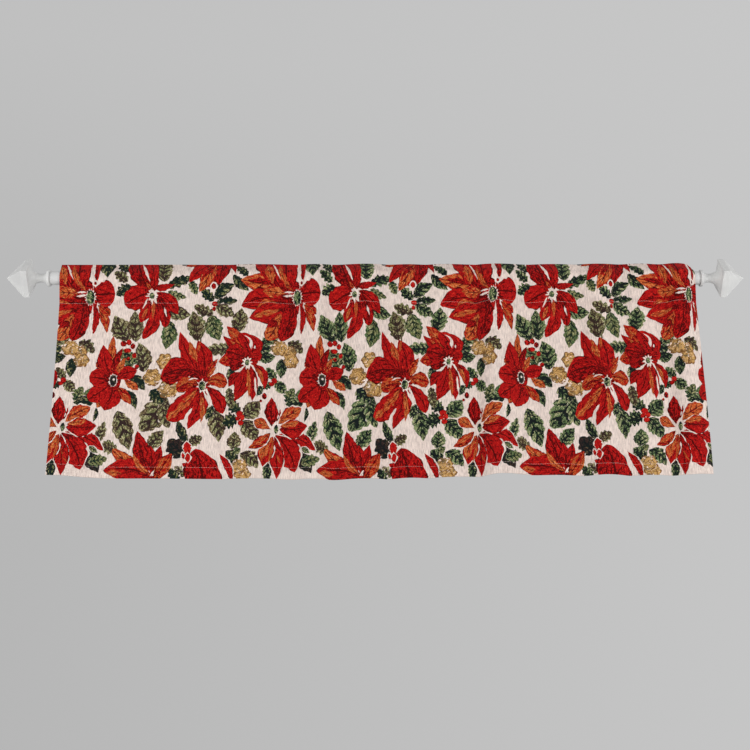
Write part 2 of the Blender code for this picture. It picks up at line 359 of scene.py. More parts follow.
# "shade" and "glow" are how much of a shape its dark and its light yarn cover. "veins" is how many slanting
# veins it has from base to tip, and "vein" half the width of one by the rib, as a share of the way to the
# next. "halves" is how much darker one side of the rib is than the other, "fleck" how much of the fleck yarn
# is mixed in, and "edge" how many millimetres wide the dark edge is.
KIND_COLUMNS = YARNS + ("shade", "glow", "veins", "vein", "halves", "fleck", "edge")
KINDS = {
    "red": ("red_dark", "red", "red_light", "red", 0.26, 0.18, 5, 0.05, 0.10, 0.0, 0.9),
    "deep_red": ("red_dark", "red", "red_light", "red", 0.42, 0.08, 5, 0.06, 0.25, 0.0, 1.2),
    "flame": ("red_dark", "red", "orange", "orange", 0.20, 0.36, 4, 0.06, 0.20, 0.0, 0.9),
    "orange": ("maroon", "orange", "orange_light", "red", 0.06, 0.24, 4, 0.12, 0.00, 0.24, 0.8),
    "orange_patch": ("maroon", "orange", "orange_light", "red", 0.04, 0.22, 3, 0.09, 0.00, 0.20, 0.0),
    "red_patch": ("red_dark", "red", "red_light", "red", 0.50, 0.05, 4, 0.06, 0.00, 0.0, 0.6),
    "leaf": ("black", "green", "khaki", "green_light", 0.20, 0.33, 5, 0.27, 0.50, 0.3, 0.0),
    "pale_leaf": ("green_dark", "olive", "khaki", "green", 0.12, 0.30, 5, 0.20, 0.35, 0.3, 0.0),
    "dark_leaf": ("black", "green", "khaki", "green_light", 0.46, 0.20, 4, 0.28, 0.50, 0.2, 0.0),
    "brown_leaf": ("plum", "brown", "khaki", "olive", 0.26, 0.26, 5, 0.22, 0.50, 0.4, 0.0),
    "warm_leaf": ("plum", "olive", "khaki", "brown", 0.20, 0.36, 5, 0.26, 0.45, 0.4, 0.0),
    "warm_dark_leaf": ("green_dark", "olive", "khaki", "plum", 0.46, 0.14, 4, 0.28, 0.50, 0.3, 0.0),
    "plum_leaf": ("black", "plum", "brown", "green_dark", 0.16, 0.12, 5, 0.18, 0.40, 0.2, 0.0),
    "rose": ("gold_dark", "gold", "cream", "brown", 0.08, 0.14, 0, 0.00, 0.00, 0.2, 0.6),
    "core": ("black", "green", "khaki", "green_light", 0.60, 0.14, 0, 0.00, 0.00, 0.2, 0.6),
    "eye": ("black", "plum", "green", "plum", 0.50, 0.06, 0, 0.00, 0.00, 0.0, 0.8),
    "berry": ("red_dark", "red", "red_light", "red_light", 0.14, 0.26, 0, 0.00, 0.00, 0.2, 0.4),
    "stem": ("green_dark", "brown", "olive", "olive", 0.30, 0.20, 0, 0.00, 0.00, 0.0, 0.0),
    "cream": ("cream", "cream", "cream", "cream", 0.00, 0.00, 0, 0.00, 0.00, 0.0, 0.0),
}

# A form's "widest" place from base to tip, how pointed its base and its tip are (lower is fuller), and the
# teeth along its edge.
FORM_COLUMNS = ("widest", "base_point", "tip_point", "teeth", "tooth_depth")
FORMS = {
    "petal": (0.50, 0.85, 0.95, 0, 0.0),
    "sword": (0.42, 0.90, 1.20, 0, 0.0),
    "club": (0.64, 0.95, 0.75, 0, 0.0),
    "blunt": (0.60, 0.55, 0.55, 0, 0.0),
    "full": (0.50, 0.55, 0.60, 0, 0.0),
    "box": (0.55, 0.35, 0.45, 5, 0.07),
    "ragged": (0.56, 0.70, 0.85, 5, 0.18),
    "leafy": (0.46, 0.72, 1.00, 6, 0.26),
    "holly": (0.48, 0.62, 0.80, 4, 0.64),
    "lobed": (0.50, 0.55, 0.65, 4, 0.34),
}

# --- The pattern's repeat, charted in millimetres of flat cloth ---

REPEAT = 424.0
REPEAT_START = 391.0 - REPEAT  # where along the cloth the first copy of the chart has its x = 0
COPIES = range(-1, 5)  # of the chart along the cloth, where the one that starts on it is 0
PATTERN_RISE = 452.0  # the chart starts again above, on the pocket's back
# The cloth's first repeat was woven with warmer leaf yarns than the others.
FIRST_REPEAT_KINDS = {"leaf": "warm_leaf", "dark_leaf": "warm_dark_leaf"}
PETAL_COLUMNS = ("base_x", "base_y", "tip_x", "tip_y", "width", "bend", "form", "kind")

LEAVES = (
    (120, 472, 132, 412, 38, 0.05, "leafy", "dark_leaf"),
    (174, 404, 146, 426, 27, 0.00, "holly", "leaf"),
    (180, 396, 150, 376, 29, 0.00, "holly", "dark_leaf"),
    (176, 424, 152, 452, 27, 0.00, "holly", "dark_leaf"),
    (248, 403, 249, 464, 40, 0.04, "leafy", "leaf"),
    (254, 391, 306, 412, 25, 0.06, "holly", "dark_leaf"),
    (255, 384, 293, 372, 20, -0.06, "holly", "pale_leaf"),
    (300, 406, 314, 378, 22, 0.00, "holly", "pale_leaf"),
    (254, 340, 303, 335, 32, 0.00, "leafy", "leaf"),
    (262, 322, 254, 262, 35, 0.04, "leafy", "pale_leaf"),
    (348, 366, 323, 390, 25, 0.00, "holly", "dark_leaf"),
    (350, 371, 393, 399, 28, 0.12, "leafy", "dark_leaf"),
    (353, 363, 398, 365, 20, 0.04, "holly", "dark_leaf"),
    (352, 356, 392, 334, 29, 0.00, "holly", "leaf"),
    (348, 338, 308, 356, 29, 0.04, "holly", "brown_leaf"),
    (318, 281, 306, 344, 41, -0.05, "leafy", "brown_leaf"),
    (344, 336, 362, 282, 40, -0.06, "leafy", "pale_leaf"),
    (400, 298, 407, 349, 38, 0.00, "leafy", "leaf"),
    (388, 418, 423, 384, 22, -0.06, "leafy", "dark_leaf"),
    (420, 414, 394, 443, 22, 0.00, "holly", "dark_leaf"),
    (180, 280, 148, 334, 43, 0.04, "leafy", "leaf"),
    (194, 278, 189, 344, 36, 0.00, "leafy", "leaf"),
    (212, 215, 199, 277, 38, -0.08, "leafy", "leaf"),
    (188, 224, 170, 264, 34, 0.00, "holly", "pale_leaf"),
    (78, 278, 111, 255, 31, 0.06, "holly", "brown_leaf"),
    (18, 262, 60, 287, 25, 0.06, "holly", "leaf"),
    (16, 254, 48, 266, 22, 0.00, "leafy", "dark_leaf"),
    (18, 245, 54, 247, 26, -0.06, "leafy", "dark_leaf"),
    (66, 243, 65, 202, 24, 0.00, "leafy", "dark_leaf"),
    (56, 198, 36, 224, 22, 0.00, "holly", "leaf"),
    (53, 196, 78, 171, 25, 0.00, "leafy", "leaf"),
    (47, 192, 28, 180, 18, 0.00, "holly", "dark_leaf"),
    (26, 186, 18, 164, 17, 0.00, "leafy", "dark_leaf"),
    (80, 150, 92, 184, 27, 0.06, "holly", "pale_leaf"),
    (98, 152, 112, 184, 25, -0.06, "leafy", "pale_leaf"),
    (114, 150, 74, 150, 27, -0.06, "leafy", "dark_leaf"),
    (184, 207, 217, 178, 27, 0.06, "leafy", "dark_leaf"),
    (178, 178, 200, 138, 20, 0.10, "leafy", "dark_leaf"),
    (121, 142, 116, 112, 10, 0.10, "leafy", "dark_leaf"),
    (127, 70, 140, 114, 22, 0.00, "holly", "leaf"),
    (154, 76, 136, 56, 20, 0.00, "holly", "brown_leaf"),
    (100, 54, 134, 10, 34, 0.05, "leafy", "plum_leaf"),
    (112, 30, 150, 40, 27, 0.00, "holly", "pale_leaf"),
    (164, 136, 192, 56, 43, 0.00, "leafy", "leaf"),
    (168, 58, 136, 68, 29, 0.06, "holly", "brown_leaf"),
    (232, 58, 258, 96, 32, 0.05, "leafy", "leaf"),
    (300, 44, 268, 78, 45, 0.00, "holly", "plum_leaf"),
    (305, 72, 284, 118, 21, 0.05, "leafy", "dark_leaf"),
    (308, 70, 334, 84, 27, 0.00, "holly", "brown_leaf"),
    (352, 142, 367, 73, 38, 0.05, "leafy", "leaf"),
    (352, 148, 340, 118, 18, 0.00, "leafy", "dark_leaf"),
    (404, 120, 372, 112, 36, 0.00, "holly", "dark_leaf"),
    (412, 114, 444, 72, 38, 0.08, "leafy", "leaf"),
    (416, 121, 448, 155, 38, -0.05, "leafy", "leaf"),
    (410, 133, 382, 154, 27, 0.00, "holly", "dark_leaf"),
    (398, 57, 399, 94, 32, 0.00, "leafy", "leaf"),
    (406, 34, 382, 56, 31, 0.00, "leafy", "dark_leaf"),
    (398, 50, 413, 60, 16, 0.00, "leafy", "pale_leaf"),
    (412, 50, 448, 20, 31, 0.12, "holly", "leaf"),
    (258, 168, 212, 94, 56, 0.05, "lobed", "leaf"),
    (254, 156, 268, 100, 27, -0.08, "lobed", "leaf"),
    (228, 178, 254, 150, 34, 0.00, "holly", "dark_leaf"),
    (42, 32, 42, -10, 20, 0.00, "leafy", "dark_leaf"),
    (386, 269, 336, 264, 31, 0.05, "holly", "leaf"),
    (384, 224, 393, 192, 22, 0.00, "leafy", "dark_leaf"),
    (384, 184, 391, 140, 25, 0.00, "holly", "brown_leaf"),
    (316, 4, 282, 24, 22, 0.00, "holly", "brown_leaf"),
    (292, -6, 272, 20, 25, 0.00, "holly", "dark_leaf"),
)

STEMS = (
    (337, 332, 326, 296, 3, 0.08, "petal", "stem"),
    (327, 298, 324, 262, 3, -0.05, "petal", "stem"),
    (181, 322, 184, 296, 2, 0.00, "petal", "stem"),
)

# A disc's middle, half its width and height, and its kind.
DISC_COLUMNS = ("x", "y", "half_width", "half_height", "kind")
ROSES = (
    (81, 256, 14, 14, "rose"),
    (62, 264, 18, 16, "rose"),
    (86, 239, 15, 15, "rose"),
    (254, 237, 16, 17, "rose"),
    (230, 204, 18, 18, "rose"),
    (263, 180, 21, 18, "rose"),
    (418, 8, 17, 13, "rose"),
    (410, 25, 17, 14, "rose"),
)

BERRIES = (
    (169, 274, 6.5, 6.0, "berry"),
    (180, 277, 5.5, 6.0, "berry"),
    (188, 269, 5.0, 6.0, "berry"),
    (178, 260, 8.0, 5.0, "berry"),
    (192, 250, 4.5, 6.0, "berry"),
    (177, 250, 6.0, 4.5, "core"),
    (180, 243, 4.5, 4.0, "berry"),
    (198, 226, 4.5, 5.0, "berry"),
    (195, 237, 5.5, 5.0, "core"),
    (52, 197, 6.0, 5.5, "berry"),
    (47, 190, 5.5, 4.5, "berry"),
    (33, 165, 5.0, 6.5, "berry"),
    (26, 155, 3.0, 3.2, "berry"),
    (350, 360, 6.5, 5.5, "berry"),
    (349, 349, 4.0, 5.0, "berry"),
    (408, 129, 7.0, 6.5, "berry"),
    (405, 120, 5.5, 5.0, "berry"),
    (414, 121, 5.0, 6.0, "berry"),
    (411, 111, 6.0, 5.5, "berry"),
)

BIG_FLOWER = (
    (46, 368, 112, 374, 78, 0.00, "box", "deep_red"),
    (62, 398, -20, 407, 36, 0.03, "petal", "orange"),
    (60, 400, -6, 405, 13, 0.00, "petal", "red_patch"),
    (66, 386, 18, 494, 46, 0.06, "box", "red"),
    (46, 398, 36, 444, 22, 0.00, "petal", "orange_patch"),
    (76, 384, 68, 506, 52, 0.00, "box", "red"),
    (89, 385, 60, 446, 14, 0.12, "petal", "orange_patch"),
    (76, 366, -18, 354, 42, -0.10, "club", "red"),
    (84, 352, -2, 327, 44, 0.02, "petal", "red"),
    (62, 346, 8, 329, 13, 0.00, "ragged", "orange_patch"),
    (58, 356, 14, 344, 9, -0.30, "petal", "orange_patch"),
    (72, 381, 26, 383, 26, 0.00, "petal", "orange"),
    (62, 338, 36, 280, 34, 0.06, "blunt", "orange"),
    (56, 322, 36, 308, 16, 0.00, "petal", "red_patch"),
    (82, 372, 64, 279, 36, 0.08, "blunt", "deep_red"),
    (107, 358, 106, 294, 17, 0.04, "petal", "red"),
    (114, 352, 134, 297, 18, 0.08, "petal", "flame"),
    (118, 344, 134, 298, 9, 0.08, "sword", "orange_patch"),
    (112, 356, 139, 333, 20, 0.05, "ragged", "flame"),
    (105, 379, 148, 379, 56, 0.00, "box", "red"),
    (110, 404, 110, 484, 14, 0.00, "box", "red"),
    (102, 388, 97, 472, 5, -0.04, "petal", "cream"),
    (102, 358, 102, 300, 4, 0.00, "petal", "cream"),
    (90, 377, 67, 375, 5, 0.00, "petal", "cream"),
    (90, 383, 69, 383, 4, 0.00, "petal", "cream"),
    (62, 408, 44, 450, 4, 0.00, "petal", "cream"),
)

STAR_FLOWER = (
    (218, 386, 190, 480, 46, 0.08, "box", "deep_red"),
    (228, 384, 206, 474, 24, -0.08, "box", "red"),
    (227, 390, 270, 399, 15, -0.05, "sword", "red"),
    (222, 382, 167, 357, 50, -0.05, "box", "red"),
    (232, 382, 277, 336, 30, 0.08, "petal", "red"),
    (232, 376, 252, 308, 26, 0.08, "blunt", "deep_red"),
    (220, 368, 202, 318, 26, 0.00, "ragged", "red"),
    (214, 350, 204, 324, 9, 0.00, "petal", "orange_patch"),
    (226, 368, 208, 283, 27, 0.14, "blunt", "red"),
    (226, 362, 226, 326, 9, 0.00, "sword", "orange_patch"),
    (222, 387, 211, 402, 7, 0.00, "petal", "orange_patch"),
    (219, 403, 200, 450, 5, 0.00, "petal", "cream"),
    (214, 370, 204, 347, 4, 0.00, "petal", "cream"),
    (248, 352, 254, 330, 4, 0.00, "petal", "cream"),
    (240, 324, 246, 304, 4, 0.00, "petal", "cream"),
)

CREST_FLOWER = (
    (350, 485, 318, 545, 38, 0.05, "petal", "red"),
    (356, 485, 392, 540, 36, 0.00, "petal", "red"),
    (344, 456, 288, 442, 20, -0.05, "petal", "flame"),
    (372, 470, 394, 419, 13, 0.06, "sword", "red"),
    (352, 462, 298, 403, 32, -0.03, "petal", "red"),
    (360, 480, 357, 397, 36, 0.06, "petal", "deep_red"),
    (350, 452, 318, 383, 28, 0.05, "petal", "orange"),
    (350, 446, 326, 412, 12, 0.00, "petal", "red_patch"),
)

DARK_EYED_FLOWER = (
    (151, 215, 148, 291, 19, 0.04, "petal", "orange"),
    (134, 218, 116, 236, 18, 0.00, "ragged", "flame"),
    (146, 208, 128, 272, 30, 0.06, "petal", "red"),
    (152, 212, 168, 265, 15, 0.06, "petal", "deep_red"),
    (156, 208, 174, 245, 15, 0.00, "petal", "orange"),
    (174, 200, 204, 178, 17, 0.00, "ragged", "orange"),
    (160, 184, 190, 148, 20, 0.05, "petal", "flame"),
    (172, 172, 188, 152, 10, 0.05, "petal", "orange_patch"),
    (158, 202, 199, 220, 30, 0.04, "ragged", "red"),
    (134, 168, 122, 141, 16, 0.04, "petal", "orange"),
    (150, 188, 104, 156, 36, -0.03, "box", "red"),
    (154, 192, 137, 136, 44, 0.05, "ragged", "red"),
    (148, 200, 103, 205, 40, 0.00, "box", "red"),
    (136, 198, 168, 198, 44, 0.00, "box", "red_patch"),
)

GREEN_EYED_FLOWER = (
    (308, 214, 344, 186, 40, 0.00, "box", "deep_red"),
    (326, 208, 282, 300, 30, 0.05, "petal", "red"),
    (332, 200, 318, 283, 36, -0.10, "petal", "red"),
    (319, 236, 302, 280, 15, 0.03, "petal", "orange_patch"),
    (322, 280, 320, 256, 7, 0.00, "petal", "orange_patch"),
    (338, 208, 360, 244, 13, 0.06, "petal", "flame"),
    (340, 206, 357, 228, 9, 0.00, "sword", "orange_patch"),
    (330, 214, 246, 202, 54, -0.16, "club", "deep_red"),
    (324, 192, 278, 180, 30, -0.12, "blunt", "flame"),
    (320, 197, 286, 186, 7, -0.20, "petal", "orange_patch"),
    (326, 186, 264, 116, 42, 0.04, "box", "red"),
    (320, 180, 276, 130, 17, 0.03, "petal", "orange_patch"),
    (286, 140, 264, 117, 14, 0.00, "petal", "orange_patch"),
    (337, 178, 336, 126, 17, -0.02, "petal", "red"),
    (329, 182, 304, 99, 30, 0.06, "petal", "red"),
    (328, 172, 330, 112, 11, 0.06, "petal", "orange_patch"),
    (340, 186, 373, 131, 28, 0.10, "blunt", "red"),
    (338, 198, 381, 194, 31, 0.08, "blunt", "flame"),
    (344, 204, 374, 200, 7, 0.14, "petal", "orange_patch"),
    (344, 195, 372, 189, 6, 0.14, "petal", "orange_patch"),
    (340, 187, 368, 180, 5, 0.06, "petal", "cream"),
    (333, 178, 349, 144, 5, 0.00, "petal", "cream"),
    (296, 118, 312, 142, 6, 0.00, "petal", "cream"),
    (322, 202, 302, 199, 3, -0.10, "petal", "cream"),
)

SMALL_FLOWER = (
    (402, 236, 440, 258, 44, 0.00, "box", "deep_red"),
    (414, 262, 376, 313, 24, -0.04, "petal", "flame"),
    (398, 286, 380, 304, 8, 0.00, "petal", "orange_patch"),
    (414, 254, 369, 292, 17, 0.03, "petal", "red"),
    (402, 266, 384, 282, 5, 0.00, "petal", "orange_patch"),
    (410, 242, 361, 238, 30, -0.06, "ragged", "flame"),
    (416, 246, 376, 262, 40, 0.00, "ragged", "deep_red"),
    (416, 236, 384, 226, 24, 0.00, "box", "deep_red"),
    (428, 248, 404, 296, 30, -0.12, "blunt", "red"),
    (438, 244, 423, 293, 17, -0.26, "petal", "red"),
    (428, 246, 451, 250, 26, 0.00, "ragged", "red"),
    (424, 236, 443, 234, 14, 0.00, "ragged", "red"),
    (412, 214, 383, 186, 22, -0.10, "petal", "red"),
    (432, 232, 457, 180, 20, 0.16, "petal", "red"),
    (436, 224, 452, 190, 9, 0.14, "petal", "orange_patch"),
    (418, 228, 397, 155, 32, 0.06, "petal", "red"),
    (428, 228, 433, 154, 21, 0.04, "petal", "red"),
    (423, 224, 427, 160, 9, 0.00, "petal", "orange_patch"),
    (428, 262, 426, 282, 4, 0.00, "petal", "cream"),
    (430, 262, 414, 291, 4, -0.20, "petal", "cream"),
    (437, 204, 441, 164, 4, 0.00, "petal", "cream"),
)

PARTED_FLOWER = (
    (58, 114, 66, 140, 7, 0.00, "petal", "red"),
    (62, 110, 110, 142, 30, 0.06, "ragged", "orange"),
    (60, 88, 141, 55, 28, 0.10, "ragged", "red"),
    (62, 101, 124, 104, 38, -0.04, "petal", "red"),
    (67, 106, 104, 114, 15, 0.00, "ragged", "orange_patch"),
    (112, 62, 130, 50, 12, 0.00, "leafy", "pale_leaf"),
    (57, 88, 98, 14, 48, 0.10, "ragged", "red"),
    (55, 84, 62, 0, 28, 0.02, "petal", "red"),
    (52, 84, 33, 23, 31, -0.06, "petal", "red"),
    (50, 82, 30, 34, 20, -0.08, "petal", "orange_patch"),
    (53, 80, 43, 27, 6, 0.02, "petal", "orange_patch"),
    (58, 56, 74, 24, 4, -0.06, "petal", "orange_patch"),
    (47, 91, 4, 59, 20, 0.06, "petal", "flame"),
    (42, 88, 10, 66, 10, 0.08, "petal", "orange_patch"),
    (48, 98, 14, 116, 23, 0.00, "club", "orange"),
    (49, 104, 47, 163, 27, 0.00, "petal", "deep_red"),
)

HEM_FLOWER = (
    (243, 6, 238, -40, 34, 0.00, "petal", "red"),
    (226, 26, 158, 58, 24, 0.10, "blunt", "orange"),
    (232, 10, 206, 95, 34, 0.02, "petal", "deep_red"),
    (242, 2, 143, 15, 44, -0.10, "ragged", "red"),
    (180, 10, 150, 12, 15, 0.00, "ragged", "orange_patch"),
    (240, 6, 233, 65, 24, -0.03, "petal", "red"),
    (238, 6, 200, 50, 12, 0.10, "petal", "orange_patch"),
    (242, 8, 254, 66, 21, 0.00, "petal", "deep_red"),
    (246, -4, 276, 50, 30, 0.02, "petal", "flame"),
    (250, 10, 268, 44, 7, 0.12, "petal", "orange_patch"),
    (266, 8, 277, 38, 8, 0.00, "petal", "orange_patch"),
    (236, 4, 244, 16, 4, 0.00, "petal", "cream"),
)

HALF_FLOWER = (
    (350, -24, 298, 26, 24, 0.00, "petal", "flame"),
    (398, -8, 369, 50, 15, -0.08, "petal", "red"),
    (330, 12, 297, 30, 15, 0.00, "ragged", "red"),
    (348, -60, 322, 60, 72, -0.04, "full", "deep_red"),
    (362, 44, 383, -4, 5, 0.00, "petal", "cream"),
    (308, 46, 304, 74, 17, 0.00, "ragged", "berry"),
    (300, 38, 297, 52, 7, 0.00, "petal", "berry"),
    (309, 32, 307, 51, 11, 0.00, "petal", "berry"),
)

# Each flower's petals, the cream gap round them, and its hearts with their spikes and rings of cream.
HEART_COLUMNS = DISC_COLUMNS + ("spikes", "spike_length", "ring")
FLOWERS = (
    (CREST_FLOWER, 0.0, ()),
    (HALF_FLOWER, 1.6, ()),
    (HEM_FLOWER, 0.0, ()),
    (SMALL_FLOWER, 0.0, ((421, 234, 4.5, 6.5, "core", 10, 7, 0.8),)),
    (GREEN_EYED_FLOWER, 0.0, ((330, 188, 6.5, 9.5, "core", 6, 6, 0.8),)),
    (DARK_EYED_FLOWER, 0.0, (
        (152, 198, 7.0, 11.5, "eye", 12, 3.4, 0.8),
        (153, 200, 2.4, 2.6, "cream", 0, 0, 0),
    )),
    (PARTED_FLOWER, 1.4, ((58, 99, 4.5, 9.0, "core", 6, 6, 0.8),)),
    (STAR_FLOWER, 0.0, ((223, 375, 5.5, 6.5, "core", 10, 9, 0.5),)),
    (BIG_FLOWER, 0.0, ((97, 372, 8.5, 15.0, "core", 15, 4, 0.7), (107, 401, 3.0, 3.6, "berry", 0, 0, 3.0))),
    ((), 0.0, ((348, 396, 5.0, 6.0, "berry", 0, 0, 2.4),)),
)
CHART_SEED = 4
SPIKE_WIDTH = 4.0
# How far round a spike stands from its even place, and how long it is, at least and at most.
SPIKE_TURN = (0.1, 0.5)
SPIKE_REACH = (0.6, 1.2)


def petal(values):
    """A petal or leaf: a bent spine from base to tip, and a half width that its form gives along it."""
    row = named(PETAL_COLUMNS, values)
    base = np.array((row["base_x"], row["base_y"]), float)
    run = (row["tip_x"], row["tip_y"]) - base
    length = np.linalg.norm(run)
    return {**row, "base": base, "length": length, "way": run / length, "half": row["width"] / 2}


def half_width(shape, along):
    form = named(FORM_COLUMNS, FORMS[shape["form"]])
    along = np.clip(along, 0, 1)
    share = along ** (math.log(0.5) / math.log(form["widest"]))
    point = form["base_point"] + (form["tip_point"] - form["base_point"]) * along
    return shape["half"] * np.sin(math.pi * share).clip(0) ** point


def spine(shape, along):
    """Sideways place of the spine."""
    return shape["bend"] * shape["length"] * 4 * along * (1 - along)


EDGE_STEP = 3.6  # millimetres between points of an outline
FEWEST_STEPS = 6
EDGE_JITTER = 0.75  # millimetres
EDGE_WAVES = ((1.6, 0.06), (3.7, 0.05))  # waves along an edge, and their height as a share of the half width
POINTS_A_TOOTH = 3
TOOTH_MIDDLE = 0.6  # a tooth rises from this much below the edge to the rest of its depth above it
LEAST_HALF = 0.3  # millimetres
TIP_MARGIN = 1.6  # how much wider a petal's margin is at its tip


def side_points(shape, side, draws):
    """Points along one side of a petal, as (share from base to tip, sideways millimetres)."""
    form = named(FORM_COLUMNS, FORMS[shape["form"]])
    teeth = form["teeth"]
    steps = max(FEWEST_STEPS, round(shape["length"] / EDGE_STEP), POINTS_A_TOOTH * teeth)
    phases = [draws.uniform(0, 2 * math.pi) for _ in EDGE_WAVES]
    places = []
    for k in range(1, steps):
        along = k / steps
        swell = 1.0
        for (count, height), phase in zip(EDGE_WAVES, phases):
            swell += height * math.sin(2 * math.pi * count * along + phase)
        if teeth:
            swell *= 1 + form["tooth_depth"] * ((along * teeth) % 1.0 - TOOTH_MIDDLE)
        half = half_width(shape, along) * swell + draws.uniform(-EDGE_JITTER, EDGE_JITTER)
        places.append((along, spine(shape, along) + side * max(half, LEAST_HALF)))
    return places


def outline(shape, draws):
    """The closed outline of a petal in chart millimetres."""
    places = [(0.0, 0.0)] + side_points(shape, 1, draws) + [(1.0, 0.0)]
    places += reversed(side_points(shape, -1, draws))
    side_way = np.array((-shape["way"][1], shape["way"][0]))
    return np.array([shape["base"] + shape["way"] * shape["length"] * a + side_way * s for a, s in places])


def widened(shape, gap):
    """The same petal with a margin round it, wider at its tip."""
    base = shape["base"] - shape["way"] * gap
    length = shape["length"] + gap + TIP_MARGIN * gap
    return {**shape, "base": base, "length": length, "half": shape["half"] + gap, "kind": "cream"}


ROUND_STEP = 2.6
FEWEST_ROUND = 9
ROSE_LOBES = 6
ROSE_LOBE_DEPTH = 0.08
RING_JITTER = 0.08


def round_outline(middle, size, lobes, draws):
    steps = max(FEWEST_ROUND, round(2 * math.pi * max(size) / ROUND_STEP))
    angles = np.arange(steps) * 2 * math.pi / steps
    reach = 1 + (ROSE_LOBE_DEPTH * np.cos(angles * lobes) if lobes else 0.0)
    reach = reach + np.array([draws.uniform(-RING_JITTER, RING_JITTER) for _ in angles])
    return middle + size * reach[:, None] * np.stack([np.cos(angles), np.sin(angles)], axis=1)


def petal_shapes(values, gap, draws):
    shape = petal(values)
    if gap and shape["kind"] != "cream" and not shape["kind"].endswith("_patch"):
        margin = widened(shape, gap)
        yield {**margin, "outline": outline(margin, draws)}
    yield {**shape, "outline": outline(shape, draws)}


def disc(values):
    row = named(DISC_COLUMNS, values)
    middle, size = (row["x"], row["y"]), (row["half_width"], row["half_height"])
    return {"middle": np.array(middle, float), "size": np.array(size, float), "kind": row["kind"]}


def disc_shapes(values, gap, draws, lobes=0):
    shape = disc(values)
    if gap:
        ring = round_outline(shape["middle"], shape["size"] + gap, 0, draws)
        yield {**shape, "kind": "cream", "outline": ring}
    yield {**shape, "outline": round_outline(shape["middle"], shape["size"], lobes, draws)}


def heart_shapes(values, draws):
    """A flower's heart on its spikes of cream."""
    heart, shape = named(HEART_COLUMNS, values), disc(values)
    for k in range(heart["spikes"]):
        angle = 2 * math.pi * (k + draws.uniform(*SPIKE_TURN)) / heart["spikes"]
        reach = shape["size"] + heart["spike_length"] * draws.uniform(*SPIKE_REACH)
        tip = shape["middle"] + np.array((math.cos(angle), math.sin(angle))) * reach
        yield from petal_shapes((*shape["middle"], *tip, SPIKE_WIDTH, 0.0, "petal", "cream"), 0.0, draws)
    yield from disc_shapes(values, heart["ring"], draws)


def chart():
    """Every shape of one repeat, the lowest first."""
    draws = random.Random(CHART_SEED)
    shapes = []
    for values in LEAVES + STEMS:
        shapes += petal_shapes(values, 0.0, draws)
    for values in ROSES:
        shapes += disc_shapes(values, 0.0, draws, ROSE_LOBES)
    for petals, gap, hearts in FLOWERS:
        for values in petals:
            shapes += petal_shapes(values, gap, draws)
        for heart in hearts:
            shapes += heart_shapes(heart, draws)
    for values in BERRIES:
        shapes += disc_shapes(values, 0.0, draws)
    return [{**shape, "seed": draws.random()} for shape in shapes]


def repeated(shapes):
    """The chart's shapes wherever they fall on the cloth, the chart above it first."""
    placed = []
    for rise in (PATTERN_RISE, 0.0):
        for shape in shapes:
            for copy in COPIES:
                shift = np.array((REPEAT_START + copy * REPEAT, rise))
                points = shape["outline"] + shift
                low, high = points.min(axis=0), points.max(axis=0)
                on_cloth = low[0] < WIDTH_MM and high[0] > 0 and low[1] < TAIL_END and high[1] > -HEM_TURN
                if on_cloth:
                    placed.append({**shape, "outline": points, "shift": shift, "low": low, "high": high})
                    if copy == 0:
                        placed[-1]["kind"] = FIRST_REPEAT_KINDS.get(shape["kind"], shape["kind"])
    return placed


def covers(points, places):
    """Which places lie inside a closed outline."""
    inside = np.zeros(len(places), bool)
    following = np.roll(points, -1, axis=0)
    for (x0, y0), (x1, y1) in zip(points, following):
        if y0 == y1:
            continue
        crossed = (y0 > places[:, 1]) != (y1 > places[:, 1])
        at = x0 + (places[:, 1] - y0) / (y1 - y0) * (x1 - x0)
        inside ^= crossed & (places[:, 0] < at)
    return inside


def topmost(placed, places):
    """Index of the last shape that covers each place, or -1 on the ground."""
    top = np.full(len(places), -1)
    order = np.argsort(places[:, 0])
    sorted_x = places[order, 0]
    for index, shape in enumerate(placed):
        first, last = np.searchsorted(sorted_x, (shape["low"][0], shape["high"][0]))
        near = order[first:last]
        near = near[(places[near, 1] > shape["low"][1]) & (places[near, 1] < shape["high"][1])]
        if len(near):
            top[near[covers(shape["outline"], places[near])]] = index
    return top


def shape_coordinates(shape, places):
    """Places on a shape as (from base to tip, from side to side), or on a disc as (from middle, round)."""
    away = places - shape["shift"]
    if "middle" in shape:
        away = (away - shape["middle"]) / shape["size"]
        return np.hypot(away[:, 0], away[:, 1]), np.arctan2(away[:, 1], away[:, 0]) / math.pi
    away = away - shape["base"]
    way = shape["way"]
    along = (away @ way) / shape["length"]
    sideways = away @ np.array((-way[1], way[0])) - spine(shape, along)
    return along, sideways / np.maximum(half_width(shape, along), 1.0)


def shape_size(shape):
    """(length, half width, round) in millimetres; a round shape's length is from its middle to its edge."""
    if "middle" in shape:
        return shape["size"].mean(), shape["size"].mean(), 1.0
    return shape["length"], shape["half"], 0.0


# --- The sheet as a mesh ---

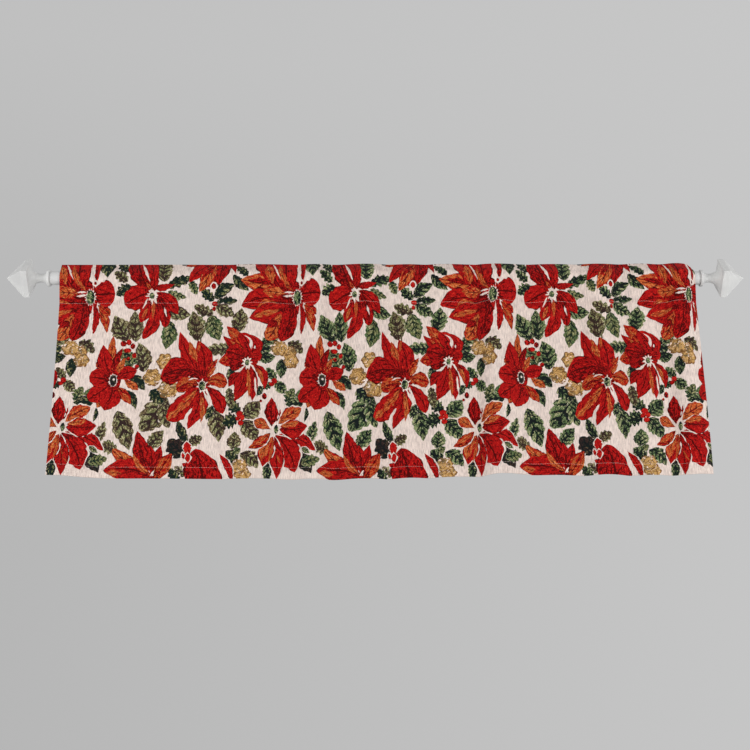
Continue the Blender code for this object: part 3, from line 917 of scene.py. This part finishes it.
# Where the lattice's lines lie, in millimetres.
COLUMN_STEP = 10.0
CREASE_COLUMNS = (-7.0, -3.0, 0.0, 3.0, 7.0)  # extra columns either side of a crease
CREASE_CLEAR = 2.5  # no even column lies closer to them
SIDE_COLUMNS = (2.0, WIDTH_MM - 2.0, WIDTH_MM - 14.0, WIDTH_MM - 17.0)  # extra columns by the sides
CLOSEST_COLUMNS = 1.2
FOLD_ROWS = (-HALF_FOLD, -HALF_FOLD / 2, 0.0, HALF_FOLD / 2, HALF_FOLD)
HEM_ROWS = (-HEM_TURN, -HEM_TURN + 3, -12.0, -4.0)
SEAM_ROWS = (-9.0, -4.0, -1.6, 0.0, 1.6, 4.0, 9.0)  # extra rows either side of a seam
PANEL_ROW_STEP = 22.0
POCKET_ROWS = (372, 384, 396, 405, 411, 414, 417, 420, 423, 426, 434, 442, 446.5, 447.6, 448.4, 449.2, 450)
TAIL_ROWS = (SEAM_BEHIND - 9, SEAM_BEHIND - 3, SEAM_BEHIND, TAIL_END)
CLOSEST_ROWS = 0.3
REVERSE_STEP = 9.0
JOIN = 0.02  # points closer than this are one
BORDER_CLEAR = 0.4  # how far an outline's points keep from the sheet's border
# Each border's axis, its place and the way inwards.
BORDERS = ((0, 0.0, 1), (0, WIDTH_MM, -1), (1, -HEM_TURN, 1), (1, TAIL_END, -1))


def thinned(values, closest):
    """Sorted values, without any that lie too close to the one before."""
    kept = []
    for value in sorted(values):
        if not kept or value - kept[-1] > closest:
            kept.append(float(value))
    return kept


def lattice_columns():
    starts = column(BAYS, BAY_COLUMNS, "start")[1:]
    creases = [start / MM + off for start in starts for off in CREASE_COLUMNS]
    even = [k * COLUMN_STEP for k in range(1, int(WIDTH_MM / COLUMN_STEP))]
    clear = [x for x in even if all(abs(x - crease) > CREASE_CLEAR for crease in creases)]
    return [0.0] + thinned([*creases, *clear, *SIDE_COLUMNS], CLOSEST_COLUMNS) + [WIDTH_MM]


def lattice_rows():
    seams = [line + off for line in SEAM_LINES for off in SEAM_ROWS]
    panel_count = int((SEAM_UP - HEM_STITCH) / PANEL_ROW_STEP)
    panel = [HEM_STITCH + (SEAM_UP - HEM_STITCH) * k / panel_count for k in range(1, panel_count)]
    back = [2 * CREST_UP - row for row in POCKET_ROWS]
    every = [*FOLD_ROWS, *HEM_ROWS, *seams, *panel, *POCKET_ROWS, *back, *TAIL_ROWS]
    return thinned(every, CLOSEST_ROWS)


def lattice(xs, ys):
    """Points and edges of a lattice of lines."""
    points = [(x, y) for y in ys for x in xs]
    count = len(xs)
    edges = [(j * count + i, j * count + i + 1) for j in range(len(ys)) for i in range(count - 1)]
    edges += [(j * count + i, (j + 1) * count + i) for j in range(len(ys) - 1) for i in range(count)]
    return points, edges


def triangulate(points, edges):
    """Triangles over the flat cloth that keep every edge given."""
    flat, _, triangles, *_ = delaunay_2d_cdt([Vector(point) for point in points], edges, [], 0, JOIN, False)
    flat = np.array([tuple(point) for point in flat])
    triangles = np.array([tuple(face) for face in triangles])
    middles = flat[triangles].mean(axis=1)
    on_cloth = (middles[:, 0] > 0) & (middles[:, 0] < WIDTH_MM)
    on_cloth &= (middles[:, 1] > -HEM_TURN) & (middles[:, 1] < TAIL_END)
    triangles = triangles[on_cloth]
    corners = flat[triangles]
    first, second = corners[:, 1] - corners[:, 0], corners[:, 2] - corners[:, 0]
    backwards = first[:, 0] * second[:, 1] - first[:, 1] * second[:, 0] < 0
    triangles[backwards] = triangles[backwards][:, ::-1]
    used, triangles = np.unique(triangles, return_inverse=True)
    return flat[used], triangles.reshape(-1, 3)


def clear_of_border(places):
    """The places, with any that lie on the sheet's border moved a little inwards."""
    places = places.copy()
    for axis, border, inwards in BORDERS:
        near = np.abs(places[:, axis] - border) < BORDER_CLEAR
        places[near, axis] = border + inwards * BORDER_CLEAR
    return places


def add_ring(points, edges, ring):
    """Adds a closed ring of places to a lattice's points and edges."""
    start, count = len(points), len(ring)
    points += [tuple(place) for place in ring]
    edges += [(start + k, start + (k + 1) % count) for k in range(count)]


def right_side(placed):
    points, edges = lattice(lattice_columns(), lattice_rows())
    for shape in placed:
        add_ring(points, edges, clear_of_border(shape["outline"]))
    return triangulate(points, edges)


def border_loop(triangles):
    """The open border of a triangulated sheet, as an ordered ring of vertex numbers."""
    ends = np.concatenate([triangles[:, [0, 1]], triangles[:, [1, 2]], triangles[:, [2, 0]]])
    present = {tuple(pair) for pair in ends}
    following = {a: b for a, b in present if (b, a) not in present}
    start = min(following)
    ring = [start]
    while following[ring[-1]] != start:
        ring.append(following[ring[-1]])
    return ring


def wrong_side(ring_places):
    """The sheet's reverse on a plain lattice, with the same creases and border points as the right side."""
    rows = lattice_rows()
    filled = []
    for low, high in zip(rows, rows[1:]):
        parts = max(1, round((high - low) / REVERSE_STEP))
        filled += [low + (high - low) * k / parts for k in range(1, parts + 1)]
    points, edges = lattice(lattice_columns()[1:-1], filled[:-1])
    add_ring(points, edges, ring_places)
    return triangulate(points, edges)


def nearest(flat, places):
    """Numbers in flat of the places, which are all there."""
    keys = {tuple(key): index for index, key in enumerate(np.round(flat / JOIN).astype(int))}
    found = []
    for place in places:
        key = np.round(place / JOIN).astype(int)
        around = [(key[0] + i, key[1] + j) for i in (0, -1, 1) for j in (0, -1, 1)]
        found.append(next(keys[near] for near in around if near in keys))
    return np.array(found)


VECTORS = ("marks", "veining", "build", "shape_place", "shape_size")


def ground_values(count):
    """Corner values for plain ground."""
    values = {name: np.tile(linear("cream"), (count, 1)) for name in YARNS}
    values.update({name: np.zeros((count, 3)) for name in VECTORS})
    return values


def put_kind(values, here, kind):
    """Gives some of the corners the colours and numbers of a kind of shape."""
    row = named(KIND_COLUMNS, KINDS[kind])
    for name in YARNS:
        values[name][here] = linear(row[name])
    values["marks"][here] = (row["shade"], row["glow"], row["fleck"])
    values["veining"][here] = (row["veins"], row["vein"], row["halves"])
    values["build"][here] = (1.0, row["edge"], float(kind.endswith("leaf")))


def corner_values(placed, top, flat, triangles):
    """Values at each triangle's corners, from the shape that each triangle shows."""
    values = ground_values(len(triangles) * 3)
    order = np.argsort(top, kind="stable")
    first = np.searchsorted(top[order], np.arange(len(placed)))
    last = np.searchsorted(top[order], np.arange(len(placed)), side="right")
    for index, shape in enumerate(placed):
        faces = order[first[index] : last[index]]
        if shape["kind"] == "cream" or not len(faces):
            continue
        here = (faces[:, None] * 3 + np.arange(3)).ravel()
        put_kind(values, here, shape["kind"])
        along, sideways = shape_coordinates(shape, flat[triangles[faces].ravel()])
        values["shape_place"][here] = np.stack([along, sideways, np.full(len(here), shape["seed"])], axis=1)
        values["shape_size"][here] = shape_size(shape)
    return values


def blurred_values(placed, flat, triangles):
    """The reverse shows the pattern softly, so its values belong to points, not to triangles."""
    top = topmost(placed, flat)
    values = ground_values(len(flat))
    for index in np.unique(top[top >= 0]):
        if placed[index]["kind"] != "cream":
            put_kind(values, top == index, placed[index]["kind"])
    return {name: rows_here[triangles.ravel()] for name, rows_here in values.items()}


def edge_faces(ring, back_ring):
    """Triangles of the cut edge between two rings of vertex numbers."""
    faces = []
    for k in range(len(ring)):
        a, b, c, d = ring[k - 1], ring[k], back_ring[k], back_ring[k - 1]
        faces += [(b, a, d), (b, d, c)]
    return np.array(faces)


def give(mesh, name, values):
    """Stores values of every corner as a named attribute: a colour if it has four numbers, else a vector."""
    colour = values.shape[1] == 4
    attribute = mesh.attributes.new(name, "FLOAT_COLOR" if colour else "FLOAT_VECTOR", "CORNER")
    attribute.data.foreach_set("color" if colour else "vector", values.astype(np.float32).ravel())


def sheet_mesh():
    """Right side, reverse and the cut edge between them, as one closed mesh with its yarn values."""
    placed = repeated(chart())
    flat, triangles = right_side(placed)
    top = topmost(placed, flat[triangles].mean(axis=1))
    ring = border_loop(triangles)
    back_flat, back_triangles = wrong_side(flat[ring])
    back_triangles = back_triangles[:, ::-1]
    back_ring = nearest(back_flat, flat[ring]) + len(flat)

    lift = CLOTH_THICKNESS / 2
    front = sheet_point(*flat.T, lift + relief(*flat.T))
    back = sheet_point(*back_flat.T, -lift + relief(*back_flat.T))
    edge = edge_faces(ring, back_ring)
    every = np.concatenate([triangles, back_triangles + len(flat), edge])
    mesh = bpy.data.meshes.new("valance_cloth")
    mesh.from_pydata(np.concatenate([front, back]).tolist(), [], every.tolist())

    front_values = corner_values(placed, top, flat, triangles)
    back_values = blurred_values(placed, back_flat, back_triangles)
    edge_values = ground_values(len(edge) * 3)
    for name in YARNS + VECTORS:
        give(mesh, name, np.concatenate([front_values[name], back_values[name], edge_values[name]]))
    places = np.concatenate([flat, back_flat])[every.ravel()]
    give(mesh, "cloth_place", np.pad(places, ((0, 0), (0, 1))))
    slots = np.repeat((0, 1, 0), (len(triangles), len(back_triangles), len(edge)))
    mesh.polygons.foreach_set("material_index", slots.astype(np.int32))
    mesh.update()
    mesh.shade_smooth()
    return mesh


# --- Node materials ---


class Value:
    """A number or colour in a node tree, so that a material's sums are written as sums."""

    def __init__(self, tree, socket):
        self.tree, self.socket = tree, socket

    def __add__(self, other):
        return self.tree.math("ADD", self, other)

    def __mul__(self, other):
        return self.tree.math("MULTIPLY", self, other)

    def __sub__(self, other):
        return self.tree.math("SUBTRACT", self, other)

    def __rsub__(self, other):
        return self.tree.math("SUBTRACT", other, self)

    def __truediv__(self, other):
        return self.tree.math("DIVIDE", self, other)

    def __lt__(self, other):
        return self.tree.math("LESS_THAN", self, other)

    def __gt__(self, other):
        return self.tree.math("GREATER_THAN", self, other)

    def __abs__(self):
        return self.tree.math("ABSOLUTE", self)


class Tree:
    """A short way to write the nodes of a material or a world."""

    def __init__(self, owner):
        owner.use_nodes = True
        self.owner = owner
        self.nodes = owner.node_tree.nodes
        self.links = owner.node_tree.links

    def fill(self, node, inputs):
        """Sets or links a node's inputs, given by name or number."""
        for socket, value in inputs.items():
            if isinstance(value, Value):
                self.links.new(value.socket, node.inputs[socket])
            elif value is not None:
                node.inputs[socket].default_value = value

    def new(self, kind, inputs, output=0, **settings):
        """An output of a new node."""
        node = self.nodes.new("ShaderNode" + kind)
        for name, value in settings.items():
            setattr(node, name, value)
        self.fill(node, inputs)
        return Value(self, node.outputs[output])

    def surface(self, **inputs):
        """The finished material, from its shader's inputs with their names' spaces as underscores."""
        inputs = {name.replace("_", " "): value for name, value in inputs.items()}
        self.fill(self.nodes["Principled BSDF"], inputs)
        return self.owner

    def attribute(self, name, output="Vector"):
        return self.new("Attribute", {}, output, attribute_name=name)

    def parts(self, vector):
        split = self.new("SeparateXYZ", {0: vector})
        return [Value(self, output) for output in split.socket.node.outputs]

    def vector(self, x, y, z):
        return self.new("CombineXYZ", {0: x, 1: y, 2: z})

    def math(self, operation, *values):
        return self.new("Math", dict(enumerate(values)), operation=operation)

    def greatest(self, first, *others):
        for other in others:
            first = self.math("MAXIMUM", first, other)
        return first

    def line(self, value, low, high, start, end):
        """start below low, end above high, and even between."""
        return self.new("MapRange", dict(enumerate((value, low, high, start, end))))

    def ramp(self, value, low, high, start=0.0, end=1.0):
        """start below low, end above high, and smooth between."""
        inputs = dict(enumerate((value, low, high, start, end)))
        return self.new("MapRange", inputs, interpolation_type="SMOOTHSTEP")

    def mix(self, share, a, b, blend="MIX"):
        return self.new("Mix", {"Factor": share, 6: a, 7: b}, 2, data_type="RGBA", blend_type=blend)

    def shaded(self, colour, shade):
        return self.mix(1.0, colour, self.vector(shade, shade, shade), "MULTIPLY")

    def noise(self, place, scale=1.0, detail=2.0, roughness=0.5):
        inputs = {"Vector": place, "Scale": scale, "Detail": detail, "Roughness": roughness}
        return self.new("TexNoise", inputs)

    def speck(self, place):
        return self.new("TexWhiteNoise", {"Vector": place}, "Value")

    def bump(self, height, distance, strength=1.0, normal=None):
        inputs = {"Strength": strength, "Distance": distance, "Height": height, "Normal": normal}
        return self.new("Bump", inputs)

    def object_place(self):
        return self.new("TexCoord", {}, "Object")


RIB_PITCH = 1.5  # the warp ribs, in millimetres across
PICK_PITCH = 1.0  # the weft picks, in millimetres up
RIB_SHARE = 0.6  # of the weave's height, and the rest is the picks'
RIB_RELIEF = 0.00022
FUZZ_RELIEF = 0.00012
FLOAT_WIDTH = 2.1  # a run of one yarn in the figures, in millimetres
FLOAT_HEIGHT = 1.7
EDGE_BITE = 2.4  # how unevenly the floats end at a leaf's edge, in millimetres
RIM_BITE = 1.4  # and at the inside of a shape's dark edge
ROSE_FROM = 12.5  # millimetres; a round shape with a smaller half width has no curling petals
RIB_HALF = 0.07  # half the width of a dark middle rib, as a share of the half width
VEIN_SLANT = 1.1  # how far a vein runs on towards the tip on its way to the edge, in veins
VEINS_END = (0.86, 0.94)  # from the rib to the edge, and from base to tip
VEIN_WANDER = 0.22  # how unevenly the floats draw the veins and the rib
RIB_WANDER = 0.05
TIP_BLUNT = 0.6  # this much of a place's way from the tip counts as its distance from the edge
NO_SIDE = 1000.0  # millimetres: a round shape has no sides, only a rim where along is 1
SWIRL_ARMS = (2.4, 1.5, 0.25)  # how often a rose's arms repeat outwards and round, and how unevenly
SWIRL_HALF = 0.10
GRAIN_SCALE = (0.10, 0.30)  # lumps of yarn in a millimetre along a shape and across it
STREAK_WANDER = 0.22
DARK_BELOW = (0.30, 0.34)  # the dark yarn shows where the grain is below the first plus the second by shade
LIGHT_ABOVE = (0.70, -0.36)  # and the light yarn where it is above the first plus the second by glow
DARK_SIDE = (0.6, 0.4)  # how much a shape's darker side adds to its shade and takes from its glow
DARK_BASE = 0.35  # how much is added to the shade at the base, and how far from it
DARK_BASE_END = 0.45
FLECK_SCALE = 0.11
FLECK_WANDER = 0.25
FLECK_ABOVE = 0.64
SEED_SPREAD = 37.0  # moves each shape to its own place in the noise
SOFT = 0.02  # half the width of the change from one yarn to the next, as a share of the noise's range


def weave_height(tree, x, y):
    """Ribs and picks of the weave, from 0 to 1, from flat places in millimetres."""
    rib = tree.math("SINE", x * (2 * math.pi / RIB_PITCH))
    row = tree.math("FLOOR", x / RIB_PITCH)
    pick = tree.math("SINE", (y + row * (PICK_PITCH / 2)) * (2 * math.pi / PICK_PITCH))
    return (rib * RIB_SHARE + pick * (1 - RIB_SHARE)) * 0.5 + 0.5


def float_speck(tree, x, y, seed):
    """An even random number from -0.5 to 0.5 for every float of the weave, laid like bricks."""
    row = tree.math("FLOOR", y / FLOAT_HEIGHT)
    brick = tree.math("FLOOR", (row * (FLOAT_WIDTH / 2) + x) / FLOAT_WIDTH)
    return tree.speck(tree.vector(brick, row, seed)) - 0.5


def vein_mask(tree, along, away, veining, dither):
    """Slanting veins either side of the middle rib, merged by the rib, and thin and broken by the edge."""
    veins, vein, _ = veining
    chevron = tree.math("FRACT", along * veins - away * VEIN_SLANT + dither * VEIN_WANDER)
    width = vein * tree.ramp(away, 0.0, 0.95, 1.0, 0.25)
    line = tree.ramp(abs(chevron - 0.5) - width, -0.03, 0.03, 1.0, 0.0)
    rib = dither * RIB_WANDER + away < RIB_HALF
    return tree.greatest(line, rib) * (away < VEINS_END[0]) * (along < VEINS_END[1]) * (veins > 0.5)


def edge_distance(tree, along, away, length, half, is_round):
    """About how many millimetres a place lies inside the edge of its shape."""
    from_side = (1.0 - away) * half + is_round * NO_SIDE
    from_tip = (1.0 - along) * (length * TIP_BLUNT)
    return tree.math("MINIMUM", from_side, from_tip)


def swirl_mask(tree, from_middle, turn, is_round, half, dither):
    """The curling petal edges of a rose: arms that wind out from the middle of a large round shape."""
    outwards, round_it, wander = SWIRL_ARMS
    wound = tree.math("FRACT", from_middle * outwards + turn * round_it + dither * wander)
    return (abs(wound - 0.5) < SWIRL_HALF) * is_round * (half > ROSE_FROM)


def figure_colour(tree, x, y):
    """A woven shape's colour, where it is kept at its bitten edge, and the dither of its floats.

    The colour is its middle yarn and flecks, under light and dark streaks, veins and edges.
    """
    dark, middle, light, fleck_yarn = (tree.attribute(name, "Color") for name in YARNS)
    marks, veining, build, place, size = (tree.parts(tree.attribute(name)) for name in VECTORS)
    shade, glow, fleck = marks
    _, edge, bitten = build
    along, sideways, seed = place
    length, half, is_round = size
    away = abs(sideways)

    dither = float_speck(tree, x, y, seed)
    lengthways, across = along * length * GRAIN_SCALE[0], sideways * half * GRAIN_SCALE[1]
    grain = tree.noise(tree.vector(lengthways, across, seed * SEED_SPREAD), roughness=0.6)
    streaks = grain + dither * STREAK_WANDER
    dark_side = (sideways > 0.0) * veining[2]
    base = tree.ramp(along, 0.0, DARK_BASE_END, DARK_BASE, 0.0) * (1.0 - is_round)
    dark_below = (shade + base + dark_side * DARK_SIDE[0]) * DARK_BELOW[1] + DARK_BELOW[0]
    darker = tree.ramp(streaks - dark_below, -SOFT, SOFT, 1.0, 0.0)
    light_above = (glow - dark_side * DARK_SIDE[1]) * LIGHT_ABOVE[1] + LIGHT_ABOVE[0]
    lighter = tree.ramp(streaks - light_above, -SOFT, SOFT)

    patch = tree.noise(tree.vector(x * FLECK_SCALE, y * FLECK_SCALE, seed)) + dither * FLECK_WANDER
    patch = patch + fleck * tree.ramp(away, 0.4, 1.0, 0.15, 1.0)
    flecked = tree.mix(patch > FLECK_ABOVE, middle, fleck_yarn)

    inside = edge_distance(tree, along, away, length, half, is_round)
    vein = vein_mask(tree, along, away, veining, dither)
    swirl = swirl_mask(tree, along, sideways, is_round, half, dither)
    darker = tree.greatest(darker, vein, dither * RIM_BITE + inside < edge, swirl)
    kept = tree.greatest(dither * (bitten * EDGE_BITE) + inside > 0.0, 1.0 - bitten)
    return tree.mix(darker, tree.mix(lighter, flecked, light), dark), kept, dither


def ground_colour(tree, x, y):
    """The pale ground: cream warp and a rosy weft that shows through in ribs and stray picks."""
    streak = tree.noise(tree.vector(x * 0.70, y * 0.07, 3.0), detail=3.0)
    cloud = tree.noise(tree.vector(x * 0.09, y * 0.09, 9.0))
    both = streak * 0.8 + cloud * 0.2
    return tree.mix(tree.ramp(both, 0.40, 0.66), linear("cream"), linear("cream_shade"))


def cloth_material():
    """The right side of the tapestry."""
    tree = Tree(bpy.data.materials.new("woven_tapestry"))
    x, y, _ = tree.parts(tree.attribute("cloth_place"))
    figure, kept, dither = figure_colour(tree, x, y)
    motif = tree.parts(tree.attribute("build"))[0] * kept
    height = weave_height(tree, x, y)
    # shade: each float's own random brightness, times painted shade that darkens the low places between the
    # weave's ribs and picks
    shade = dither * tree.ramp(motif, 0.0, 1.0, 0.10, 0.38) + 1.0
    shade = shade * tree.ramp(height, 0.0, 0.7, 0.84, 1.04)
    fuzz = tree.noise(tree.vector(x, y, 0.0), 1.4, 3.0, 0.7)
    return tree.surface(
        Base_Color=tree.shaded(tree.mix(motif, ground_colour(tree, x, y), figure), shade),
        Roughness=tree.ramp(height, 0.0, 1.0, 0.95, 0.82),
        Sheen_Weight=0.02,
        Sheen_Roughness=0.6,
        Specular_IOR_Level=0.05,
        Normal=tree.bump(fuzz, FUZZ_RELIEF, 0.7, tree.bump(height, RIB_RELIEF)),
    )


def reverse_material():
    """The reverse: the same figures, pale where the right side is deep, among crossing floats."""
    tree = Tree(bpy.data.materials.new("tapestry_reverse"))
    x, y, _ = tree.parts(tree.attribute("cloth_place"))
    motif = tree.parts(tree.attribute("build"))[0]
    band = tree.noise(tree.vector(x * 0.05, y * 0.45, 1.0))
    floats = tree.mix(tree.ramp(band, 0.44, 0.50), linear("red_dark"), linear("green"))
    floats = tree.mix(tree.ramp(band, 0.56, 0.60), floats, linear("orange"))
    stitch = tree.vector(tree.math("SNAP", x, FLOAT_WIDTH), tree.math("SNAP", y, PICK_PITCH), 0.0)
    speck = tree.speck(stitch)
    ground = tree.mix(tree.ramp(speck, 0.30, 0.62, 0.25, 0.85), linear("cream"), floats)
    yarn = tree.attribute("middle", "Color")
    figure = tree.mix(tree.ramp(speck, 0.25, 0.75, 0.35, 0.85), yarn, linear("cream_shade"))
    height = weave_height(tree, x, y)
    # The base colour is darkened where the weave is low: painted shade between the ribs and picks
    return tree.surface(
        Base_Color=tree.shaded(tree.mix(motif, ground, figure), tree.ramp(height, 0.0, 0.8, 0.72, 1.05)),
        Roughness=tree.ramp(speck, 0.0, 1.0, 0.86, 0.96),
        Specular_IOR_Level=0.12,
        Normal=tree.bump(height, RIB_RELIEF * 1.4),
    )


def thread_material():
    tree = Tree(bpy.data.materials.new("sewing_thread"))
    ply = tree.noise(tree.object_place(), 2600.0)
    return tree.surface(
        Base_Color=tree.mix(tree.ramp(ply, 0.35, 0.7), linear("thread"), linear("cream_shade")),
        Roughness=tree.ramp(ply, 0.3, 0.7, 0.55, 0.75),
        Normal=tree.bump(ply, 0.00008),
    )


def enamel_material(name, colour, worn, roughness):
    """White enamel with the faint ripple and dulled patches of a sprayed coat."""
    tree = Tree(bpy.data.materials.new(name))
    place = tree.object_place()
    patches, ripple, grain = tree.noise(place, 24.0, 3.0), tree.noise(place, 420.0), tree.noise(place, 1800.0)
    return tree.surface(
        Base_Color=tree.mix(tree.ramp(patches, 0.35, 0.7), colour, worn),
        Roughness=tree.ramp(grain, 0.3, 0.7, *roughness),
        Specular_IOR_Level=0.45,
        Normal=tree.bump(grain, 0.00005, 0.3, tree.bump(ripple, 0.0003, 0.25)),
    )


# --- Pieces ---


def linked(name, mesh, *materials):
    for material in materials:
        mesh.materials.append(material)
    piece = bpy.data.objects.new(name, mesh)
    bpy.context.scene.collection.objects.link(piece)
    return piece


def valance():
    piece = linked("valance_cloth", sheet_mesh(), cloth_material(), reverse_material())
    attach(piece, "root")
    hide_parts("valance_panel")


STITCH_PITCH = 3.4
STITCH_LENGTH = 2.7
THREAD_RADIUS = 0.00022
THREAD_SIDES = 5
STITCH_SINK = 0.0004
# Where along a stitch its rings lie, and how high: its ends dive into the cloth.
STITCH_ARCH = ((0.0, -STITCH_SINK), (0.22, 0.00008), (0.5, 0.00016), (0.78, 0.00008), (1.0, -STITCH_SINK))
STITCH_WANDER = 0.25
STITCH_SEED = 11
STITCH_ROWS = (SEAM_UP, HEM_STITCH, -HEM_STITCH + 1.0, SEAM_BEHIND + 2.0)
SEAM_CLEAR = 2.0  # millimetres from the sides that the seams start and end


def stitch_row(up, draws):
    """Rings of points of every stitch in a row: an array of stitch by ring by side by XYZ."""
    count = int((WIDTH_MM - 2 * SEAM_CLEAR) / STITCH_PITCH)
    starts = SEAM_CLEAR + np.arange(count) * STITCH_PITCH
    ups = np.array([up + draws.uniform(-STITCH_WANDER, STITCH_WANDER) for _ in starts])
    rings = []
    for share, rise in STITCH_ARCH:
        along = starts + share * STITCH_LENGTH
        middle = sheet_point(along, ups, CLOTH_THICKNESS / 2 + relief(along, ups) + rise)
        normal = sheet_normal(along, ups)
        ahead = sheet_middle(along + NORMAL_STEP, ups) - sheet_middle(along - NORMAL_STEP, ups)
        across = np.cross(normal, ahead / np.linalg.norm(ahead, axis=1, keepdims=True))
        angles = 2 * math.pi * np.arange(THREAD_SIDES) / THREAD_SIDES
        spokes = [across * math.cos(angle) + normal * math.sin(angle) for angle in angles]
        rings.append(np.stack([middle + spoke * THREAD_RADIUS for spoke in spokes], axis=1))
    return np.stack(rings, axis=1)


def tube_faces(start, ring_count, sides):
    """Faces of a closed tube whose rings of points follow one another from start."""
    faces = []
    for low in range(start, start + (ring_count - 1) * sides, sides):
        for side in range(sides):
            after = (side + 1) % sides
            faces.append((low + side, low + after, low + sides + after, low + sides + side))
    first = range(start, start + sides)
    last = range(start + (ring_count - 1) * sides, start + ring_count * sides)
    return faces + [tuple(reversed(first)), tuple(last)]


def stitches():
    """Lockstitches along the pocket's seam and the hem, on both faces of the cloth."""
    draws = random.Random(STITCH_SEED)
    points, faces = [], []
    for up in STITCH_ROWS:
        for stitch in stitch_row(up, draws):
            faces += tube_faces(len(points), len(STITCH_ARCH), THREAD_SIDES)
            points += stitch.reshape(-1, 3).tolist()
    mesh = bpy.data.meshes.new("seam_stitches")
    mesh.from_pydata(points, [], faces)
    mesh.shade_smooth()
    piece = linked("seam_stitches", mesh, thread_material())
    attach(piece, "root")


WHITE = (0.66, 0.66, 0.65, 1.0)
DULL_WHITE = (0.60, 0.60, 0.595, 1.0)
SHARP_ANGLE = math.radians(32)


def hardware():
    """Gives the carried-over solids their finish."""
    rod_enamel = enamel_material("rod_enamel", DULL_WHITE, WHITE, (0.34, 0.46))
    finial_enamel = enamel_material("finial_enamel", WHITE, DULL_WHITE, (0.42, 0.55))
    enamels = {"curtain_rod": rod_enamel, "left_finial": finial_enamel, "right_finial": finial_enamel}
    for node, enamel in enamels.items():
        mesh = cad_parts[node].data
        mesh.materials.clear()
        mesh.materials.append(enamel)
        mesh.shade_smooth()
        mesh.set_sharp_from_angle(angle=SHARP_ANGLE)


# --- Camera, lights and floor ---

CAMERA_PLACE = (0.0, -2.495, -0.874)
CAMERA_TILT = math.radians(105)  # looking up 15 degrees
FOCAL_PIXELS = 1286
FRAME_PIXELS = 750
SENSOR = 36.0
# The pale room round the object: its grey at the left and the right of the picture, level with the cloth and
# above it, and how far to the side and up (as parts of a unit direction) those greys are reached.
LEVEL_GREYS = (0.470, 0.560)
UPPER_GREYS = (0.525, 0.570)
SIDE_REACH = 0.27
LEVEL_HEIGHT = 0.26
UPPER_HEIGHT = 0.48
FLOOR_Z = -1.35
FLOOR_SIZE = 6.0
FLOOR_GREYS = ((0.62, 0.62, 0.62, 1.0), (0.66, 0.66, 0.65, 1.0))

LIGHT_COLUMNS = ("name", "place", "size", "energy")
LIGHTS = (
    ("left_softbox", (-2.7, -2.1, -0.7), 1.4, 50.0),
    ("right_softbox", (2.7, -2.1, -0.7), 1.4, 50.0),
    ("low_fill", (0.0, -2.6, -1.2), 1.4, 4.0),
)
LIGHT_TARGET = Vector((0.0, 0.0, -0.19))


def camera():
    data = bpy.data.cameras.new("camera")
    data.sensor_width = SENSOR
    data.lens = FOCAL_PIXELS / FRAME_PIXELS * SENSOR
    view = linked("camera", data)
    view.location = CAMERA_PLACE
    view.rotation_euler = (CAMERA_TILT, 0.0, 0.0)
    bpy.context.scene.camera = view


def lights():
    for row in LIGHTS:
        light = named(LIGHT_COLUMNS, row)
        data = bpy.data.lights.new(light["name"], "AREA")
        data.energy = light["energy"]
        data.size = light["size"]
        lamp = linked(light["name"], data)
        lamp.location = light["place"]
        lamp.visible_camera = False
        lamp.rotation_euler = (LIGHT_TARGET - Vector(light["place"])).to_track_quat("-Z", "Y").to_euler()


def room():
    """A pale world whose grey changes softly with the direction."""
    world = bpy.data.worlds.new("pale_room")
    tree = Tree(world)
    side, _, height = tree.parts(tree.new("TexCoord", {}, "Generated"))
    level = tree.line(side, -SIDE_REACH, SIDE_REACH, *LEVEL_GREYS)
    upper = tree.line(side, -SIDE_REACH, SIDE_REACH, *UPPER_GREYS)
    grey = tree.line(height, LEVEL_HEIGHT, UPPER_HEIGHT, level, upper)
    tree.fill(tree.nodes["Background"], {"Color": grey})
    bpy.context.scene.world = world
    bpy.context.scene.view_settings.view_transform = "Standard"


def floor():
    mesh = bpy.data.meshes.new("floor")
    half = FLOOR_SIZE / 2
    corners = [(-half, -half, FLOOR_Z), (half, -half, FLOOR_Z), (half, half, FLOOR_Z), (-half, half, FLOOR_Z)]
    mesh.from_pydata(corners, [], [(0, 1, 2, 3)])
    tree = Tree(bpy.data.materials.new("pale_floor"))
    cloudy = tree.noise(tree.object_place(), 2.0, 3.0)
    material = tree.surface(Base_Color=tree.mix(cloudy, *FLOOR_GREYS), Roughness=0.8)
    linked("floor", mesh, material)


camera()
lights()
room()
floor()
hardware()
valance()
stitches()
